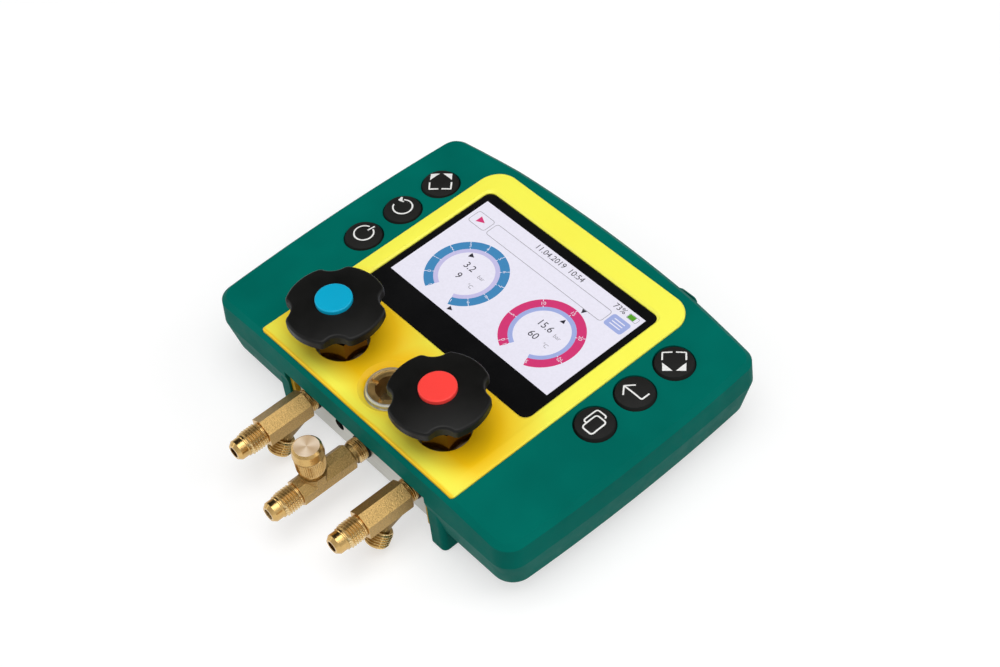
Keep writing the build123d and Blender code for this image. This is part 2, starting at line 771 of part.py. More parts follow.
def charging_cap():
    """Knurled cap: a turned head over a tapered skirt, bored for the tee's thread."""
    low = tee_thread_low_z + 0.1
    head_low = low + cap_height - cap_head
    top = low + cap_height
    skirt_r = cap_r - cap_groove / 2
    points = [(0, low), (cap_skirt_r - cap_groove, low), (cap_skirt_r, low + 2 * cap_groove),
              (skirt_r, head_low), (cap_r - cap_groove, head_low + cap_groove / 2),
              (cap_r, head_low + 2 * cap_groove), (cap_top_r, top - cap_chamfer),
              (cap_top_r - cap_chamfer, top), (0, top)]
    body = turned(points)
    body -= post(thread_r + cap_bore_gap, 0, 0, low - 1, tee_top_z + 0.1 + cap_seal_thick)
    return Pos(0, tee_y, 0) * body


def cap_seal():
    low = tee_top_z + 0.1
    return post(thread_r, 0, tee_y, low, low + cap_seal_thick)


# ---------------------------------------------------------------- sight glass
def sight_glass_body():
    """Brass cup in the block with a castellated mouth and a lens seat."""
    low = block_top_z - sight_depth
    top = block_top_z + 1.4
    body = tube(sight_bore_r, sight_hole_r, 0, glass_well_y, low, top)
    body -= post(sight_hole_r + 0.8, 0, glass_well_y, low - 1, low + lens_thick)
    for angle in (20, 110):
        slot = Box(2 * sight_bore_r + 2, sight_slot, 2.4)
        body -= Pos(0, glass_well_y, top) * Rot(0, 0, angle) * slot
    return body


def sight_glass_lens():
    low = block_top_z - sight_depth
    return post(sight_hole_r + 0.8, 0, glass_well_y, low, low + lens_thick)


def sight_glass_ring():
    """Bright ring on the block round the cup."""
    ring = tube(sight_ring_r, sight_ring_inner_r + 0.1, 0, glass_well_y, block_top_z,
                block_top_z + sight_ring_height)
    return chamfer(ring.edges().group_by(Axis.Z)[-1].sort_by(SortBy.LENGTH)[-1:], 0.6)


# ---------------------------------------------------------------- pressure sensors
def pressure_sensor(x):
    """Hex base on the block's back, threaded into it, with a round can and a plug."""
    z = side_port_z
    y = block_back_y + seal_thick
    body = bar(shank_r, x, z, block_back_y - shank_length + 2, y + 0.1)
    hexagon = prism(sensor_hex, 6, sensor_hex_length, 0)
    body += Pos(x, y, z) * Rot(-90, 0, 0) * hexagon
    y += sensor_hex_length
    body += bar(sensor_r, x, z, y - 0.1, y + sensor_length)
    body += bar(sensor_plug_r, x, z, y + sensor_length - 0.1, y + sensor_length + sensor_plug)
    return body


def port_seals():
    """The sealing ring under the collar of each of the three fittings."""
    low = block_front_y - seal_thick
    places = [(-valve_x, side_port_z), (0, centre_port_z), (valve_x, side_port_z)]
    return group(bar(seal_r, x, z, low, block_front_y) - bar(shank_r + bar_hole_gap, x, z, low - 1, 1)
                 for x, z in places)


def sensor_seals():
    """The sealing ring under each pressure sensor."""
    high = block_back_y + seal_thick
    return group(bar(seal_r, side * valve_x, side_port_z, block_back_y, high)
                 - bar(shank_r + bar_hole_gap, side * valve_x, side_port_z, block_back_y - 1, high + 1)
                 for side in (-1, 1))


def bonnet_washers():
    """The bright ring under each valve bonnet."""
    return group(tube(washer_r, bonnet_shank_r + bar_hole_gap, side * valve_x, valve_y, block_top_z,
                      block_top_z + washer_thick) for side in (-1, 1))


# ---------------------------------------------------------------- batteries
pocket_half = cell_count * (cell_r + cell_gap / 2) + 0.5
pocket_front_y = cell_y - cell_length / 2 - contact_room
pocket_back_y = cell_y + cell_length / 2 + contact_room
cell_z = door_recess + door_thick + 0.3 + cell_r
pocket_top_z = cell_z + cell_r


def cell_xs():
    pitch = 2 * cell_r + cell_gap
    return [(i - (cell_count - 1) / 2) * pitch for i in range(cell_count)]


def battery_cells():
    """Four round cells lying side by side, each with its raised end."""
    cells = []
    for i, x in enumerate(cell_xs()):
        turn = 1 if i % 2 else -1
        half = cell_length / 2
        cell = bar(cell_r, x, cell_z, cell_y - half + (turn < 0), cell_y + half - (turn > 0))
        nub = bar(2.7, x, cell_z, cell_y - half, cell_y + half)
        cells.append(cell + nub)
    return group(cells)


def battery_contacts():
    """A contact plate at each end of each cell."""
    plates = []
    for x in cell_xs():
        for y in (pocket_front_y, pocket_back_y - contact_room):
            plates.append(slab(x - contact_half, x + contact_half, y, y + contact_room, cell_z - contact_half,
                               cell_z + contact_half))
    return group(plates)


def battery_door():
    """Lift-off cover, flush in the shell's back, with a locating rib inside."""
    half = pocket_half + door_lap - fit_gap
    y0 = pocket_front_y - door_tab + fit_gap
    y1 = pocket_back_y + door_lap - fit_gap
    body = slab(-half, half, y0, y1, door_recess, door_recess + door_thick)
    body = fillet(body.edges().filter_by(Axis.Z), 3.0)
    for x, y in door_screw_places():
        body -= post(case_screw_r + fit_gap, x, y, -1, door_recess + door_thick + 1)
        body -= post(case_head_r + fit_gap, x, y, -1, door_recess + door_head_z + door_head)
    grip = Pos(0, y1 - 7.0, door_recess) * Box(24.0, 3.0, 1.2)
    return body - grip


def door_screw_places():
    x = pocket_half - cell_r
    y = pocket_front_y - door_tab / 2
    return [(-x, y), (x, y)]


def door_screws():
    """The two captive screws of the battery door."""
    screws = []
    for x, y in door_screw_places():
        low = door_recess + door_head_z
        screws.append(post(case_head_r, x, y, low, low + door_head)
                      + post(case_screw_r, x, y, low + door_head, door_recess + door_thick + door_screw_reach))
    return group(screws)


# ---------------------------------------------------------------- rear shell
def leg(side):
    """The leg beside the block, which carries the front of the housing."""
    x0 = leg_inner if side > 0 else -box_half
    x1 = box_half if side > 0 else -leg_inner
    body = slab(x0, x1, leg_front_y, box_front_y + box_corner_r, 0, split_z)
    outer = [e for e in body.edges().filter_by(Axis.Z)
             if e.center().Y < box_front_y and abs(e.center().X) > box_half - fit_gap]
    body = fillet(outer, leg_corner_r)
    return fillet(body.edges().group_by(Axis.Z)[0], leg_round)


def box_outline(inset=0.0):
    """The deep middle of the rear shell, seen from the back."""
    length = box_back_y - box_front_y - 2 * inset
    middle = Pos(0, (box_front_y + box_back_y) / 2)
    return middle * RectangleRounded(2 * (box_half - inset), length, box_corner_r - inset)


def rear_shell():
    wings_depth = split_z - wing_back_z
    draft = wings_depth * tan(radians(rear_taper))
    wings = loft([Pos(0, 0, wing_back_z) * outline(draft, draft), Pos(0, 0, split_z) * outline()])
    wings = fillet(wings.edges().group_by(Axis.Z)[0], rear_round)
    box = extrude(box_outline(), wing_back_z + rear_round)
    box = fillet(box.edges().group_by(Axis.Z)[0], rear_round)
    shell = wings + box + leg(-1) + leg(1)
    # hollow of the wings and of the deep middle
    shell -= Pos(0, 0, wing_back_z + wall) * extrude(outline(wall + draft), wings_depth)
    shell -= Pos(0, 0, wall) * extrude(box_outline(wall), wing_back_z + wall)
    # the manifold's bay, open at the front between the legs
    shell -= slab(-leg_inner, leg_inner, front_y - 5, box_front_y, -1, split_z + 1)
    shell -= slab(-leg_inner, leg_inner, box_front_y - 1, box_front_y + wall + 1, block_bottom_z,
                  split_z + 1)
    # the hook's recess, roofed and walled inside the shell, with a boss for its pin
    shell += hook_bay(wall) & extrude(box_outline(), box_back_y)
    shell += post(case_boss_r, 0, hook_y, hook_recess_z, hook_recess_z + hook_pin_reach + wall)
    shell -= hook_bay() + post(hook_pin_r, 0, hook_y, -1, hook_recess_z + hook_pin_reach)
    # battery pocket
    outer = pocket_half + pocket_wall
    shell += slab(-outer, outer, pocket_front_y - pocket_wall, pocket_back_y + pocket_wall, 1,
                  pocket_top_z + pocket_wall)
    door_half = pocket_half + door_lap
    seat = slab(-door_half - 2, door_half + 2, pocket_front_y - door_tab - 2,
                pocket_back_y + door_lap + 2, 0.5, door_recess + door_thick + 2.0)
    shell += seat
    shell -= slab(-pocket_half, pocket_half, pocket_front_y, pocket_back_y, -1, pocket_top_z)
    recess = slab(-door_half, door_half, pocket_front_y - door_tab, pocket_back_y + door_lap, -1,
                  door_recess + door_thick)
    shell -= recess
    for x, y in door_screw_places():
        low = door_recess + door_thick
        shell += post(case_boss_r, x, y, low, low + door_screw_reach + wall)
        shell -= post(case_screw_r + fit_gap, x, y, low - 1, low + door_screw_reach + 1)
    # posts under the boards and bosses for the screws
    for x in (-board_post_x, board_post_x):
        for y in board_post_ys:
            shell += post(board_post_r, x, y, wall - 1, board_z)
            shell -= post(case_screw_r, x, y, board_z - board_screw_reach - 1, board_z + 1)
    for side in (-1, 1):
        for y in (button_mid_y - button_pitch / 2, button_mid_y + button_pitch / 2):
            shell += post(board_post_r, side * button_x, y, wing_back_z + 1, key_board_bottom_z)
    for x, y in case_screw_places():
        shell += post(case_boss_r, x, y, wing_back_z + rear_round, split_z)
        shell -= post(case_head_r + fit_gap, x, y, wing_back_z - 1, wing_back_z + case_head + 0.6)
        shell -= post(case_screw_r + fit_gap, x, y, wing_back_z, split_z + 1)
    for x, y in block_screw_places():
        shell += post(case_boss_r, x, y, 1, block_bottom_z)
        shell -= post(case_head_r + 0.8, x, y, -1, case_head + 0.6)
        shell -= post(block_screw_r + fit_gap, x, y, 0, block_bottom_z + 1)
    return shell


def case_screws():
    """Six screws through the rear shell into the frame."""
    low = wing_back_z + 0.6
    return group(post(case_head_r, x, y, low, low + case_head)
                 + post(case_screw_r, x, y, low + case_head - 0.1, split_z + case_screw_reach)
                 for x, y in case_screw_places())


def block_screws():
    """Four screws through the rear shell into the manifold block."""
    low = 0.6
    return group(post(case_head_r + 0.6, x, y, low, low + case_head)
                 + post(block_screw_r, x, y, low + case_head - 0.1, block_bottom_z + block_screw_reach)
                 for x, y in block_screw_places())


def board_screws():
    """Four screws that hold the main board on its posts."""
    top = board_z + board_thick
    return group(post(case_head_r, x, y, top, top + 1.6)
                 + post(case_screw_r, x, y, board_z - board_screw_reach, top + 0.1)
                 for x in (-board_post_x, board_post_x) for y in board_post_ys)


# ---------------------------------------------------------------- electronics
def main_board():
    body = slab(-board_half_x, board_half_x, board_front_y, board_back_y, board_z,
                board_z + board_thick)
    for x in (-board_post_x, board_post_x):
        for y in board_post_ys:
            body -= post(case_screw_r + fit_gap, x, y, board_z - 1, board_z + board_thick + 1)
    return body


def board_components():
    """Shield can, processor, radio module and display connector on the main board."""
    top = board_z + board_thick
    middle = (board_front_y + board_back_y) / 2
    shield = slab(-shield_side / 2, shield_side / 2, middle - shield_side / 2,
                  middle + shield_side / 2, top, top + shield_height)
    chip_x = (shield_side + board_half_x) / 2
    chip = slab(chip_x - chip_side / 2, chip_x + chip_side / 2, middle - chip_side / 2,
                middle + chip_side / 2, top, top + chip_height)
    radio = slab(-chip_x - chip_side / 2, -chip_x + chip_side / 2, middle - chip_side,
                 middle + chip_side / 2, top, top + chip_height)
    plug = slab(-shield_side / 2, shield_side / 2, board_front_y + chip_height,
                board_front_y + 3 * chip_height, top, top + chip_height)
    return group([shield, chip, radio, plug])


def usb_socket():
    """Metal service socket at the board's edge."""
    z = board_z + board_thick
    return slab(usb_x - usb_width / 2 - 3, usb_x + usb_width / 2 - 3, board_back_y - usb_length,
                board_back_y, z, z + usb_height)


def back_wall_y():
    """Outside of the back wall where the service cover sits."""
    side = half_width - side_bow
    bulge_r = (side ** 2 + back_bow ** 2) / (2 * back_bow)
    return back_y - bulge_r + sqrt(bulge_r ** 2 - usb_x ** 2)


def usb_slot(grow):
    """The slot through the back wall behind the service cover."""
    half = usb_cover_width / 2 - 1.5 + grow
    y = back_wall_y()
    return slab(usb_x - half, usb_x + half, y - wall - 2, y + 2, usb_cover_bottom_z + 2.0 - grow,
                usb_cover_bottom_z + 8.0 + grow)


def usb_cover():
    """Soft cover on the back wall, with a plug in the slot."""
    y = back_wall_y()
    half = usb_cover_width / 2
    face = slab(usb_x - half, usb_x + half, y + 0.5, y + 0.5 + usb_cover_proud, usb_cover_bottom_z,
                usb_cover_top_z)
    face = fillet(face.edges().filter_by(Axis.Y), 3.0)
    outer = face.faces().sort_by(Axis.Y)[-1]
    face = chamfer(outer.edges(), 0.7)
    plug = usb_slot(-fit_gap) & slab(usb_x - half, usb_x + half, y - wall, y + 0.6, 0, face_z)
    return face + plug


# ---------------------------------------------------------------- hanging hook
def hook_bay(grow=0.0):
    """The recess in the shell's back that the folded hook lies in and swings out of."""
    edge = hook_room + grow
    reach = hook_shank + hook_bend_r + hook_wire_r + edge
    return slab(-hook_eye_r - edge, reach, hook_y - hook_eye_r - edge, box_back_y + 1, -1,
                hook_recess_z + grow)


def hanging_hook():
    """Flat-lying wire hook with an eye, folded along the housing's back edge."""
    eye = tube(hook_eye_r, hook_pin_r + running_gap, 0, hook_y, hook_z - hook_wire_r,
               hook_z + hook_wire_r)
    start = (hook_eye_r - 1.0, hook_y, hook_z)
    corner = (hook_shank, hook_y, hook_z)
    line = Line(start, corner)
    bend = JernArc(corner, (1, 0, 0), hook_bend_r, 200)
    path = Wire([line, bend])
    wire = sweep(Plane(origin=start, z_dir=(1, 0, 0)) * Circle(hook_wire_r), path)
    return eye + wire


def hook_pin():
    """Rivet that the hook turns on."""
    head_top = hook_z - hook_wire_r - running_gap
    pin = post(hook_pin_r, 0, hook_y, head_top, hook_recess_z + hook_pin_reach)
    return pin + post(hook_pin_head_r, 0, hook_y, head_top - hook_pin_head, head_top)


# ---------------------------------------------------------------- write every node
def main():
    os.makedirs("parts", exist_ok=True)
    save(front_frame(), "front_frame")
    save(rear_shell(), "rear_shell")
    save(front_panel(), "front_panel")
    save(block_cradle(), "block_cradle")
    save(display_window(), "display_window")
    save(lcd_panel(), "lcd_panel")
    save(main_board(), "main_board")
    save(board_components(), "board_components")
    save(board_screws(), "board_screws")
    save(key_board(-1), "key_board_left")
    save(key_board(1), "key_board_right")
    save(key_switches(), "key_switches")
    save(manifold_block(), "manifold_block")
    save(group(gallery_plug(side) for side in (-1, 1)), "gallery_plugs")
    save(side_fitting(-valve_x), "low_side_fitting")
    save(side_fitting(valve_x), "high_side_fitting")
    save(charging_fitting(), "charging_fitting")
    save(charging_core(), "charging_core")
    save(core_pin(), "core_pin")
    save(charging_cap(), "charging_cap")
    save(cap_seal(), "cap_seal")
    save(port_seals(), "port_seals")
    save(sensor_seals(), "sensor_seals")
    save(bonnet_washers(), "bonnet_washers")
    save(sight_glass_body(), "sight_glass_body")
    save(sight_glass_lens(), "sight_glass_lens")
    save(sight_glass_ring(), "sight_glass_ring")
    for name, x in (("low", -valve_x), ("high", valve_x)):
        save(valve_bonnet(x), name + "_valve_bonnet")
        save(valve_piston(x), name + "_piston")
        save(piston_seal(x), name + "_piston_seal")
        save(valve_stem(x), name + "_stem")
        save(handwheel(x), name + "_handwheel")
        save(wheel_cap(x), name + "_wheel_cap")
        save(wheel_screw(x), name + "_wheel_screw")
        save(pressure_sensor(x), name + "_pressure_sensor")
    for name, x, y in button_places():
        save(button(x, y), name)
    save(battery_cells(), "battery_cells")
    save(battery_contacts(), "battery_contacts")
    save(battery_door(), "battery_door")
    save(door_screws(), "door_screws")
    save(usb_socket(), "usb_socket")
    save(usb_cover(), "usb_cover")
    save(case_screws(), "case_screws")
    save(block_screws(), "block_screws")
    save(hanging_hook(), "hanging_hook")
    save(hook_pin(), "hook_pin")


main()
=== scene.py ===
"""Dresses a refrigerant manifold gauge: finishes, threads, knurling, key legends, screen and studio."""

import math

import bmesh
import bpy
from bpy.props import FloatProperty, FloatVectorProperty, IntProperty, PointerProperty
from mathutils import Matrix, Vector


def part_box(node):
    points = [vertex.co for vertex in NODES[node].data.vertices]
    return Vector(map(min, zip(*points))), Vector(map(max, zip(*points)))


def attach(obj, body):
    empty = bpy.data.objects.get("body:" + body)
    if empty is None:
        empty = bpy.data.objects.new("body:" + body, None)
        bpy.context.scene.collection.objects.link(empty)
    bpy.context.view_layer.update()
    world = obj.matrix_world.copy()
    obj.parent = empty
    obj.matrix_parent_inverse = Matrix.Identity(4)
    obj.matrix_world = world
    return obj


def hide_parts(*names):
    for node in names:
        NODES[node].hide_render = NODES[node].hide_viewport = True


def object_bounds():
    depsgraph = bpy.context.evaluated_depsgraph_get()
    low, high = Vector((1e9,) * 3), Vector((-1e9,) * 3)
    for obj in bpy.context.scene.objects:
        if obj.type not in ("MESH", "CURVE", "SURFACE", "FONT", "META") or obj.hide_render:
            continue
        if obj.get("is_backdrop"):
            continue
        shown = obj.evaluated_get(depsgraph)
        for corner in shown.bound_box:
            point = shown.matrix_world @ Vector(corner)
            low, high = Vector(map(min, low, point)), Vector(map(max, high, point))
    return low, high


bl_info = {
    "name": "Manifold gauge dressing",
    "version": (1, 0, 0),
    "blender": (4, 5, 0),
    "location": "3D View > Sidebar > Gauge",
    "description": "Finishes and fine detail for a refrigerant manifold gauge",
    "category": "Object",
}

MM = 0.001
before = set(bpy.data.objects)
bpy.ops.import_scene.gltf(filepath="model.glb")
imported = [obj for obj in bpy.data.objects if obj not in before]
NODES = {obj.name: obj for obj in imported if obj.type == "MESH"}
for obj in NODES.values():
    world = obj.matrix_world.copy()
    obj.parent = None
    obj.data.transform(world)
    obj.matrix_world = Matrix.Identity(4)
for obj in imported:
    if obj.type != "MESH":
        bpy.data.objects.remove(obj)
CAD_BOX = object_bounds()
SIDES = ("low", "high")
KEYS = ("power", "refresh", "zoom_out", "copy", "back", "zoom_in")


# ------------------------------------------------------------------ measures taken from the parts in model.glb
def low(node):
    return Vector(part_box(node)[0])


def high(node):
    return Vector(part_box(node)[1])


def middle(node):
    return (low(node) + high(node)) / 2


GLASS_TOP = high("display_window").z
VALVE_X = middle("high_stem").x
VALVE_Y = middle("high_stem").y
THREAD_R = 5.56 * MM
WELL_Y = middle("sight_glass_ring").y


# ------------------------------------------------------------------ properties
class GaugeColours(bpy.types.PropertyGroup):
    """Colours of the mouldings, metals and screen, linear"""

    def colour(name, description, value):
        return FloatVectorProperty(name=name, description=description, subtype="COLOR", size=3,
                                   min=0.0, max=1.0, default=value)

    green: colour("Green", "Housing mouldings", (0.0, 0.140, 0.110))
    yellow: colour("Yellow", "Front panel and cradle", (0.97, 0.95, 0.095))
    # Painted shade colour: the yellow plastic as it looks in shade, round the valves, the sight glass, the
    # panel's front edge and on the cradle
    amber: colour("Amber", "Yellow plastic in the dips round the valves", (1.0, 0.60, 0.004))
    black: colour("Black", "Handwheels and keys", (0.0042, 0.0041, 0.0036))
    blue: colour("Blue", "Low side disc", (0.003, 0.38, 0.60))
    red: colour("Red", "High side disc", (0.98, 0.060, 0.050))
    brass: colour("Brass", "Fittings, bonnets and cap", (0.66, 0.43, 0.16))
    aluminium: colour("Aluminium", "Valve block and washers", (0.56, 0.56, 0.52))
    steel: colour("Steel", "Screws and hook", (0.58, 0.58, 0.57))
    legend: colour("Legend", "Marks on the keys", (0.86, 0.86, 0.84))
    screen: colour("Screen", "Lit screen", (0.83, 0.81, 0.92))
    gauge_low: colour("Low ring", "Low side ring on the screen", (0.060, 0.25, 0.50))
    gauge_high: colour("High ring", "High side ring on the screen", (0.66, 0.045, 0.18))
    ink: colour("Ink", "Dark figures on the screen", (0.035, 0.032, 0.045))
    grey: colour("Grey", "Light figures on the screen", (0.30, 0.29, 0.33))
    lilac: colour("Lilac", "Inner ring of the low gauge", (0.56, 0.53, 0.80))
    sky: colour("Sky", "Inner ring of the high gauge and the menu key", (0.36, 0.43, 0.76))
    charge: colour("Charge", "Battery mark", (0.10, 0.36, 0.03))


class GaugeSizes(bpy.types.PropertyGroup):
    """Sizes of threads, knurls and key legends"""

    def length(name, description, value):
        return FloatProperty(name=name, description=description, subtype="DISTANCE", unit="LENGTH",
                             default=value * MM, precision=5)

    pitch: length("Thread pitch", "Rise of a flare thread in one turn", 1.27)
    thread_depth: length("Thread depth", "Crest to root of a flare thread", 0.72)
    round_steps: IntProperty(name="Steps", description="Points round a thread", default=64, min=16)
    knurls: IntProperty(name="Knurls", description="Ridges round the cap", default=46, min=8)
    knurl_depth: length("Knurl depth", "Height of a knurl ridge", 0.28)
    legend_line: length("Legend line", "Width of a key legend's line", 0.72)
    film: length("Film", "Thickness of a printed or lit mark", 0.03)


class GaugeCamera(bpy.types.PropertyGroup):
    """Where the camera stands and how it looks"""

    azimuth: FloatProperty(name="Azimuth", description="From the front towards the high side, degrees",
                           default=53.637)
    elevation: FloatProperty(name="Elevation", description="Above the bench, degrees", default=49.658)
    roll: FloatProperty(name="Roll", description="Turn about the view axis, degrees", default=-6.729)
    distance: FloatProperty(name="Distance", description="From the aim point", subtype="DISTANCE",
                            unit="LENGTH", default=0.800)
    aim: FloatVectorProperty(name="Aim", description="Point on the view axis", subtype="TRANSLATION",
                             size=3, default=(0.011820, -0.004983, 0.037948))
    lens: FloatProperty(name="Lens", description="Focal length in millimetres", default=68.644)
    shift_x: FloatProperty(name="Shift X", description="Sideways lens shift", default=0.0073)
    shift_y: FloatProperty(name="Shift Y", description="Upward lens shift", default=0.0166)


def colours():
    return bpy.context.scene.gauge_colours


def sizes():
    return bpy.context.scene.gauge_sizes


# ------------------------------------------------------------------ node expressions
class Socket:
    """A node's socket that takes part in Python expressions"""

    def __init__(self, tree, link):
        self.tree = tree
        self.link = link

    def math(self, operation, *others):
        inputs = dict(enumerate((self, *others)))
        return self.tree.node("ShaderNodeMath", {"operation": operation}, inputs)

    def __add__(self, other):
        return self.math("ADD", other)

    def __sub__(self, other):
        return self.math("SUBTRACT", other)

    def __mul__(self, other):
        return self.math("MULTIPLY", other)

    def __truediv__(self, other):
        return self.math("DIVIDE", other)

    def __gt__(self, other):
        return self.math("GREATER_THAN", other)


class Nodes:
    """Adds nodes to a tree"""

    def __init__(self, tree):
        self.nodes = tree.nodes
        self.links = tree.links

    def node(self, kind, settings=None, inputs=None, output=0):
        """Adds a node: its settings first, then the values or links of its sockets"""
        made = self.nodes.new(kind)
        for key, value in (settings or {}).items():
            setattr(made, key, value)
        for key, value in (inputs or {}).items():
            self.plug(value, made.inputs[key])
        return Socket(self, made.outputs[output])

    def plug(self, value, socket):
        if isinstance(value, Socket):
            self.links.new(value.link, socket)
        else:
            socket.default_value = value

    def split(self, vector, axis):
        """One coordinate of a vector: 0, 1 or 2 for X, Y or Z"""
        return self.node("ShaderNodeSeparateXYZ", None, {0: vector}, axis)


class Tree(Nodes):
    """The node tree of one material"""

    def __init__(self, name):
        self.material = bpy.data.materials.new(name)
        self.material.use_nodes = True
        super().__init__(self.material.node_tree)
        self.shader = next(n for n in self.nodes if n.type == "BSDF_PRINCIPLED")

    def place(self, scale=(1.0, 1.0, 1.0), shift=(0.0, 0.0, 0.0)):
        """Object coordinates through a Mapping node"""
        place = self.node("ShaderNodeTexCoord", output=3)
        return self.node("ShaderNodeMapping", None, {"Vector": place, "Scale": scale, "Location": shift})

    def noise(self, size, detail=3.0, roughness=0.55, vector=None):
        """Noise whose grain is about size metres across"""
        return self.node("ShaderNodeTexNoise", None,
                         {"Vector": vector or self.place(), "Scale": 1.0 / size, "Detail": detail,
                          "Roughness": roughness})

    def blend(self, factor, a, b, mode="MIX"):
        """Mixes two colours"""
        four = lambda c: c if isinstance(c, Socket) else (*c[:3], 1.0)
        return self.node("ShaderNodeMix", {"data_type": "RGBA", "blend_type": mode},
                         {0: factor, 6: four(a), 7: four(b)}, output=2)

    def mottled(self, factor, start, end, a, b):
        """Goes from one colour to another as a factor goes from start to end"""
        ramp = self.node("ShaderNodeValToRGB", None, {"Fac": factor})
        stops = self.nodes[-1].color_ramp.elements
        for stop, place, colour in zip(stops, (start, end), (a, b)):
            stop.position = place
            stop.color = (*colour, 1.0)
        return ramp

    def span(self, value, low_in, high_in, low_out, high_out):
        """Carries a value from one range to another"""
        return self.node("ShaderNodeMapRange", None,
                         {"Value": value, "From Min": low_in, "From Max": high_in,
                          "To Min": low_out, "To Max": high_out})

    def bump(self, height, distance, strength=0.8):
        return self.node("ShaderNodeBump", None,
                         {"Height": height, "Distance": distance, "Strength": strength})

    def finish(self, **inputs):
        """Sets the shader's sockets by name, with _ for a space"""
        for key, value in inputs.items():
            socket = self.shader.inputs[key.replace("_", " ")]
            if not isinstance(value, Socket) and socket.type == "RGBA":
                value = (*value[:3], 1.0)
            self.plug(value, socket)
        return self.material


# ------------------------------------------------------------------ finishes
FINISHES = {}


def finish(name):
    """Returns a finish, made the first time it is asked for"""
    if name not in FINISHES:
        FINISHES[name] = MAKERS[name]()
    return FINISHES[name]


def toned(colour, factor):
    """A colour made darker or lighter"""
    return [min(1.0, c * factor) for c in colour]


def satin(tree, body, grain=0.00042, depth=0.000018, rough=(0.40, 0.52), shine=0.3):
    """Finishes a plastic with the fine spark texture of its mould and a slight change of sheen"""
    gloss = tree.span(tree.noise(0.006), 0.3, 0.7, *rough)
    return tree.finish(Base_Color=body, Roughness=gloss, Specular_IOR_Level=shine,
                       Normal=tree.bump(tree.noise(grain, 4.0, 0.7), depth, 0.9))


def moulded(name, colour, fade=0.10, **surface):
    """Moulded plastic with a faint colour drift"""
    tree = Tree(name)
    drift = tree.span(tree.noise(0.035, 2.0), 0.35, 0.65, 0.0, 1.0)
    return satin(tree, tree.blend(drift, toned(colour, 1 - fade), toned(colour, 1 + fade * 0.6)), **surface)


def green_plastic():
    return moulded("green_plastic", colours().green, shine=0.02)


def panel_plastic():
    """Yellow plastic with painted shade: deeper orange-yellow round the valves, the sight glass and along
    the front edge, and a random drift of tone
    """
    tree = Tree("panel_plastic")
    painted_shade = None
    # Painted shade near each valve and the sight glass, where the wheels and the dish shade the panel
    for x, y, start, reach in ((-VALVE_X, VALVE_Y, 0.022, 0.042), (VALVE_X, VALVE_Y, 0.022, 0.042),
                               (0.0, WELL_Y, 0.015, 0.030)):
        flat = tree.place(scale=(1.0, 1.0, 0.0), shift=(-x, -y, 0.0))
        away = tree.node("ShaderNodeVectorMath", {"operation": "LENGTH"}, {0: flat}, output=1)
        near = tree.span(away, start, reach, 1.0, 0.0)
        painted_shade = near if painted_shade is None else painted_shade.math("MAXIMUM", near)
    depth = tree.split(tree.place(), 1)
    front = low("front_panel").y
    behind = tree.span(depth, front + 0.004, front + 0.015, 0.12, 1.0)
    # Painted shade along the panel's front edge
    front_edge_shade = tree.span(depth, front + 0.0006, front + 0.0018, 0.9, 0.0)
    drift = tree.span(tree.noise(0.035, 2.0), 0.3, 0.7, 0.0, 0.10)
    shade_and_drift = (painted_shade * behind + drift).math("MAXIMUM", front_edge_shade).math("MINIMUM", 1.0)
    body = tree.blend(shade_and_drift, colours().yellow, colours().amber)
    return satin(tree, body, rough=(0.34, 0.44), shine=0.35)


def cradle_plastic():
    """The same yellow plastic with painted shade: the painted shade colour of the panel, made darker still
    """
    return moulded("cradle_plastic", toned(colours().amber, 0.6), shine=0.15)


def black_plastic():
    return moulded("black_plastic", colours().black, grain=0.0007, rough=(0.36, 0.46), fade=0.2,
                   shine=0.22)


def key_rubber():
    return moulded("key_rubber", toned(colours().black, 1.6), grain=0.0005, depth=0.00004,
                   rough=(0.55, 0.7), fade=0.25)


def dark_rubber():
    return moulded("dark_rubber", colours().black, rough=(0.6, 0.75))


def green_rubber():
    return moulded("green_rubber", toned(colours().green, 0.9), rough=(0.6, 0.7), shine=0.1)


def disc_plastic(name, colour):
    return moulded(name, colour, grain=0.0008, depth=0.00001, rough=(0.32, 0.40), fade=0.04, shine=0.2)


def blue_plastic():
    return disc_plastic("blue_plastic", colours().blue)


def red_plastic():
    return disc_plastic("red_plastic", colours().red)


def polished(tree, body, rough, relief, distance, strength=0.8, metallic=1.0):
    """Finishes a metal with a surface relief"""
    return tree.finish(Base_Color=body, Metallic=metallic, Roughness=rough,
                       Normal=tree.bump(relief, distance, strength))


def metal(name, colour, rough, height, distance, shade=0.12, drift=None):
    """A metal with a surface relief, and lighter and darker places in its polish"""
    tree = Tree(name)
    wear = drift(tree) if drift else tree.noise(0.004, 4.0)
    body = tree.blend(tree.span(wear, 0.3, 0.7, 0.0, 1.0), toned(colour, 1 - shade),
                      toned(colour, 1 + shade * 0.5))
    return polished(tree, body, tree.span(wear, 0.25, 0.75, *rough), height(tree), distance)


def turned_brass():
    """Turned brass: fine feed marks round the axis and a few dull places"""
    marks = lambda t: t.noise(0.00022, 2.0, 0.5, t.place((0.15, 1.0, 0.15)))
    return metal("turned_brass", colours().brass, (0.16, 0.27), marks, 0.000012)


def upright_brass():
    """Brass turned about an upright axis"""
    marks = lambda t: t.noise(0.00022, 2.0, 0.5, t.place((0.15, 0.15, 1.0)))
    return metal("upright_brass", toned(colours().brass, 1.1), (0.30, 0.44), marks, 0.000010)


